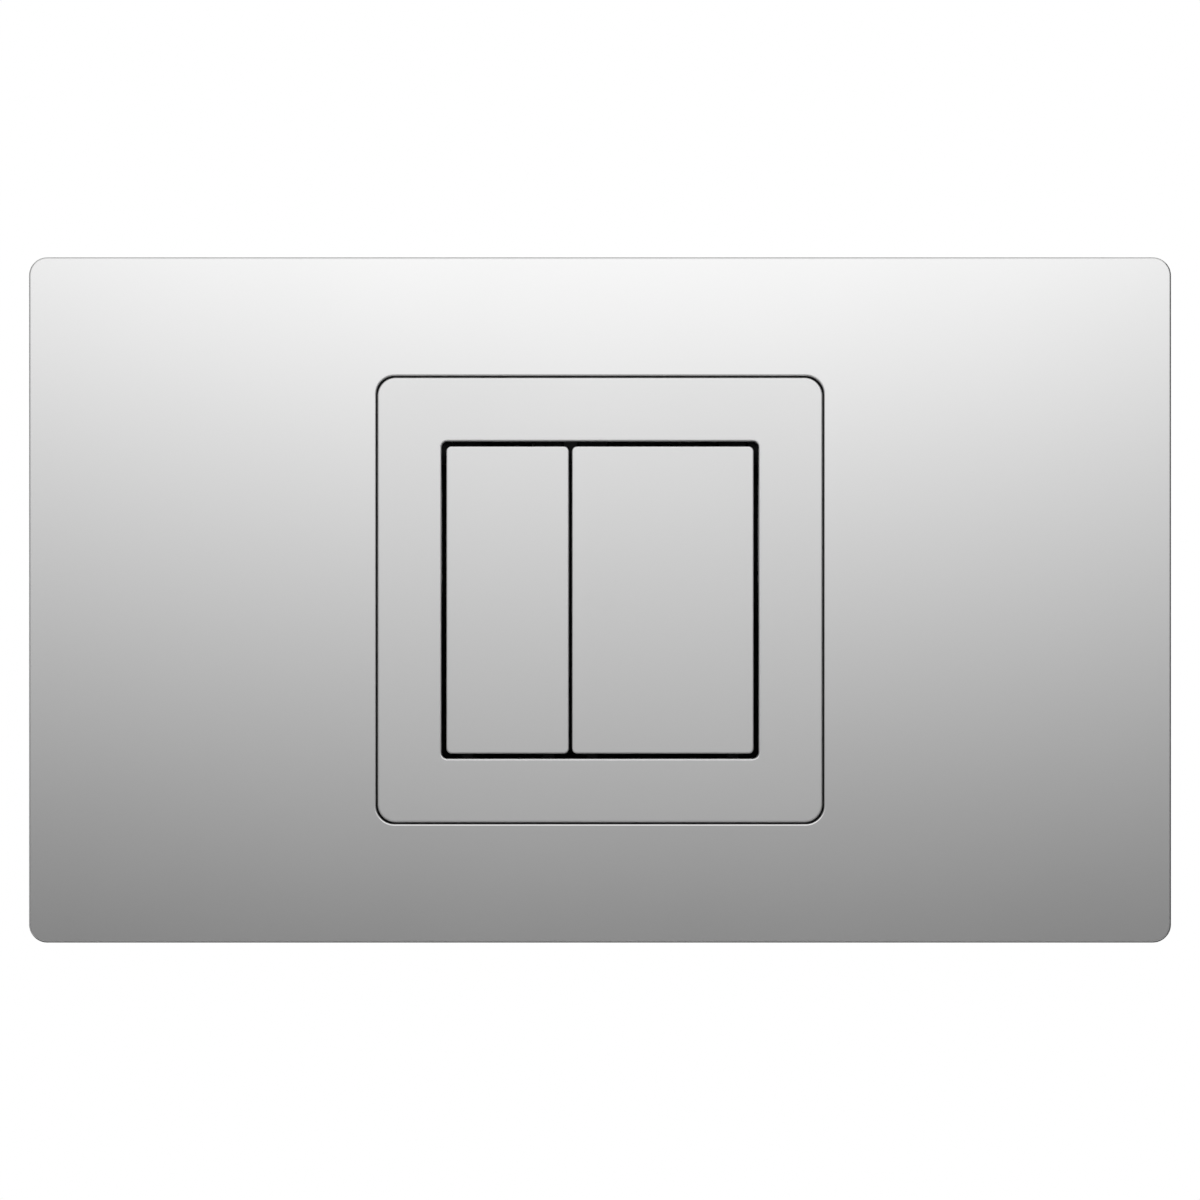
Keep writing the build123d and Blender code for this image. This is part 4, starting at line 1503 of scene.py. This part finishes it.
@dataclass(frozen=True)
class Card(Sheet):
    """A card, glowing or dark, that only mirrors show. It gives the chrome's rounded edges a thin line."""

    light: float = 1.0

    def shader(self, tree: Tree) -> Socket:
        """An even glow."""
        return add_node(tree, "ShaderNodeEmission", {"Strength": self.light}).outputs["Emission"]

    def build(self) -> bpy.types.Object:
        """Make the card, which neither blocks the view nor casts a shadow.

        Returns:
            The object.
        """
        card = super().build()
        card.visible_camera = False
        card.visible_diffuse = False
        card.visible_shadow = False
        card.visible_transmission = False
        return card


@dataclass(frozen=True)
class GradedPanel(Card):
    """A panel before the plate, brighter towards the top, with soft sides and a soft foot."""

    by_height: float = 8.4  # gain of light with the height
    by_square: float = 15.0  # and with its square
    side_loss: float = 6.2  # loss of light with the square of the width
    limit: float = 1.9  # most light
    side_fade: tuple[float, float] = (0.3, 0.4)  # widths at which the panel starts to end and ends
    foot_fade: tuple[float, float] = (-0.2, -0.12)  # heights at which it starts and is whole
    top_fade: tuple[float, float] = (0.13, 0.18)  # above the part that the plate's face mirrors
    top_loss: float = 0.35  # share of the light that is lost there

    def values(self, points: Array) -> dict[str, Array]:
        """Light and cover of the panel.

        The light at height h and width x is (light + by_height * h + by_square * h * h) *
        (1 - side_loss * x * x), up to a limit, and it falls by a share at the top.

        Args:
            points: points of shape (rows, columns, 3).

        Returns:
            The light and the cover at each point.
        """
        x, h = points[..., X], points[..., Z]
        light = (self.light + self.by_height * h + self.by_square * h**2) * (1 - self.side_loss * x**2)
        cover = smooth_step(h, *self.foot_fade) * (1 - smooth_step(np.abs(x), *self.side_fade))
        top = 1 - self.top_loss * smooth_step(h, *self.top_fade)
        return {"light": np.clip(light, 0, self.limit) * top, "cover": cover}

    def shader(self, tree: Tree) -> Socket:
        """A glow of the panel's light where it covers, and clear elsewhere.

        Args:
            tree: the material's tree.

        Returns:
            The mixed surface.
        """
        light, cover = [
            add_node(tree, "ShaderNodeAttribute", {}, attribute_name=name).outputs["Fac"]
            for name in ("light", "cover")
        ]
        glow = add_node(tree, "ShaderNodeEmission", {"Strength": light})
        clear = add_node(tree, "ShaderNodeBsdfTransparent", {})
        return add_node(tree, "ShaderNodeMixShader", {
            0: cover, 1: clear.outputs["BSDF"], 2: glow.outputs["Emission"],
        }).outputs["Shader"]


@dataclass(frozen=True)
class Lamp:
    """A square soft lamp that looks at the origin. Lengths are in metres."""

    name: str
    place: Place
    size: float
    power: float
    in_mirrors: bool

    def build(self) -> None:
        """Hang the lamp."""
        data = bpy.data.lights.new(self.name, "AREA")
        data.size, data.energy = self.size, self.power
        lamp = bpy.data.objects.new(self.name, data)
        lamp.location = self.place
        lamp.rotation_euler = (-Vector(self.place)).to_track_quat("-Z", "Y").to_euler()
        lamp.visible_camera = False
        lamp.visible_glossy = self.in_mirrors
        bpy.context.scene.collection.objects.link(lamp)


# A panel stands before the plate, and cards stand round both on the sides of a box. Lengths are in metres.
PANEL_X, PANEL_Y, PANEL_Z = 0.42, -0.17, 0.36  # half width, depth and half height of the panel
CARD_X, CARD_Z = 0.33, 0.28  # half width and half height of the box
CARD_FRONT, CARD_SPLIT, CARD_BACK = -0.13, 0.12, 0.6  # depths of the cards' starts, splits and ends
ROOF_END, ABOVE_SPLIT = -0.02, 0.3  # depths at which the cards over the plate follow each other


@dataclass
class Studio:
    """Camera, surroundings, floor, cards and lamps. Lengths are in metres."""

    view_width: float = 0.2626  # across the picture, at the front of the plate
    lens: float = 200.0  # in millimetres, as the sensor is
    sensor: float = 36.0
    ambient: float = 0.6  # of the white surroundings, for all but mirrors and the camera
    sheets: tuple[Sheet, ...] = (
        Floor("floor", (-2.4, -2.4, -0.45), (2.4, 2.4, -0.45), steps=60),
        GradedPanel(
            "graded_panel", (-PANEL_X, PANEL_Y, -PANEL_Z), (PANEL_X, PANEL_Y, PANEL_Z), steps=48, light=0.99,
        ),
        Card("card_left", (-CARD_X, CARD_FRONT, -CARD_Z), (-CARD_X, 0.2, CARD_Z), light=0.45),
        Card("card_right", (CARD_X, CARD_FRONT, -CARD_Z), (CARD_X, CARD_SPLIT, CARD_Z), light=0.0),
        Card("card_right_back", (CARD_X, CARD_SPLIT, -CARD_Z), (CARD_X, CARD_BACK, CARD_Z), light=0.22),
        Card("card_below", (-CARD_X, CARD_FRONT, -CARD_Z), (CARD_X, CARD_SPLIT, -CARD_Z), light=0.0),
        Card("card_below_back", (-CARD_X, CARD_SPLIT, -CARD_Z), (CARD_X, CARD_BACK, -CARD_Z), light=0.22),
        Card("card_above", (-CARD_X, ROOF_END, CARD_Z), (CARD_X, ABOVE_SPLIT, CARD_Z), light=0.4),
        Card("card_above_back", (-0.6, ABOVE_SPLIT, CARD_Z), (0.6, 0.8, CARD_Z), light=0.75),
        Card("card_roof", (-CARD_X, PANEL_Y, PANEL_Z), (CARD_X, ROOF_END, PANEL_Z), light=1.5),
    )
    lamps: tuple[Lamp, ...] = (
        Lamp("overhead", (0.0, -0.25, 1.0), size=0.8, power=3.1, in_mirrors=False),
        Lamp("front_left", (-0.9, -1.1, 0.9), size=0.8, power=9.0, in_mirrors=False),
        Lamp("back_right", (0.8, 1.1, 0.8), size=1.7, power=8.6, in_mirrors=True),
        Lamp("back_left", (-1.0, 0.9, 0.3), size=1.3, power=3.8, in_mirrors=True),
    )

    def build(self) -> None:
        """Set up the camera, the surroundings, the sheets and the lamps."""
        scene = bpy.context.scene
        scene.view_settings.view_transform = "Standard"
        scene.camera = self.camera()
        scene.world = self.surroundings()
        for item in self.sheets + self.lamps:
            item.build()

    def camera(self) -> bpy.types.Object:
        """A long lens square to the front of the plate, level with its middle.

        Returns:
            The camera.
        """
        data = bpy.data.cameras.new("camera")
        data.lens, data.sensor_width = self.lens, self.sensor
        camera = bpy.data.objects.new("camera", data)
        distance = self.view_width * self.lens / self.sensor
        camera.location = (0, cad_box[0][Y] - distance, 0)
        camera.rotation_euler = (TURN / 4, 0, 0)
        bpy.context.scene.collection.objects.link(camera)
        return camera

    def surroundings(self) -> bpy.types.World:
        """White all round: full white to the camera and in mirrors, softer as light on dull surfaces.

        Returns:
            The world.
        """
        world = bpy.data.worlds.new("white_surroundings")
        world.use_nodes = True
        tree = world.node_tree
        tree.nodes.clear()
        path = add_node(tree, "ShaderNodeLightPath", {}).outputs
        seen = path["Is Camera Ray"]
        for ray in ("Is Glossy Ray", "Is Transmission Ray"):
            seen = add_node(tree, "ShaderNodeMath", {0: seen, 1: path[ray]}, operation="MAXIMUM").outputs[0]
        strength = add_node(tree, "ShaderNodeMapRange", {
            "Value": seen, "To Min": self.ambient, "To Max": 1.0,
        })
        background = add_node(tree, "ShaderNodeBackground", {
            "Color": linear("#FFFFFF"), "Strength": strength.outputs["Result"],
        })
        add_node(tree, "ShaderNodeOutputWorld", {"Surface": background.outputs["Background"]})
        return world


def main() -> None:
    """Build, dress and report the sub-assemblies from the front to the wall, then set up the studio."""
    logging.basicConfig(level=logging.INFO, format="%(name)s: %(message)s")
    assemblies: list[SubAssembly] = [
        CoverPlate(), BezelFrame(),
        *[Key(flush=flush) for flush in Flush], Hinge(),
        *[Actuator(flush=flush) for flush in Flush],
        CarrierModule(), MountingSet(),
    ]
    for assembly in assemblies:
        assembly.build()
        assembly.dress()
        for node, piece in assembly.pieces.items():
            log.info("%s: %d faces in %s", piece.name, len(piece.data.polygons), SLOTS[node])
    Studio().build()


if __name__ == "__main__":
    main()
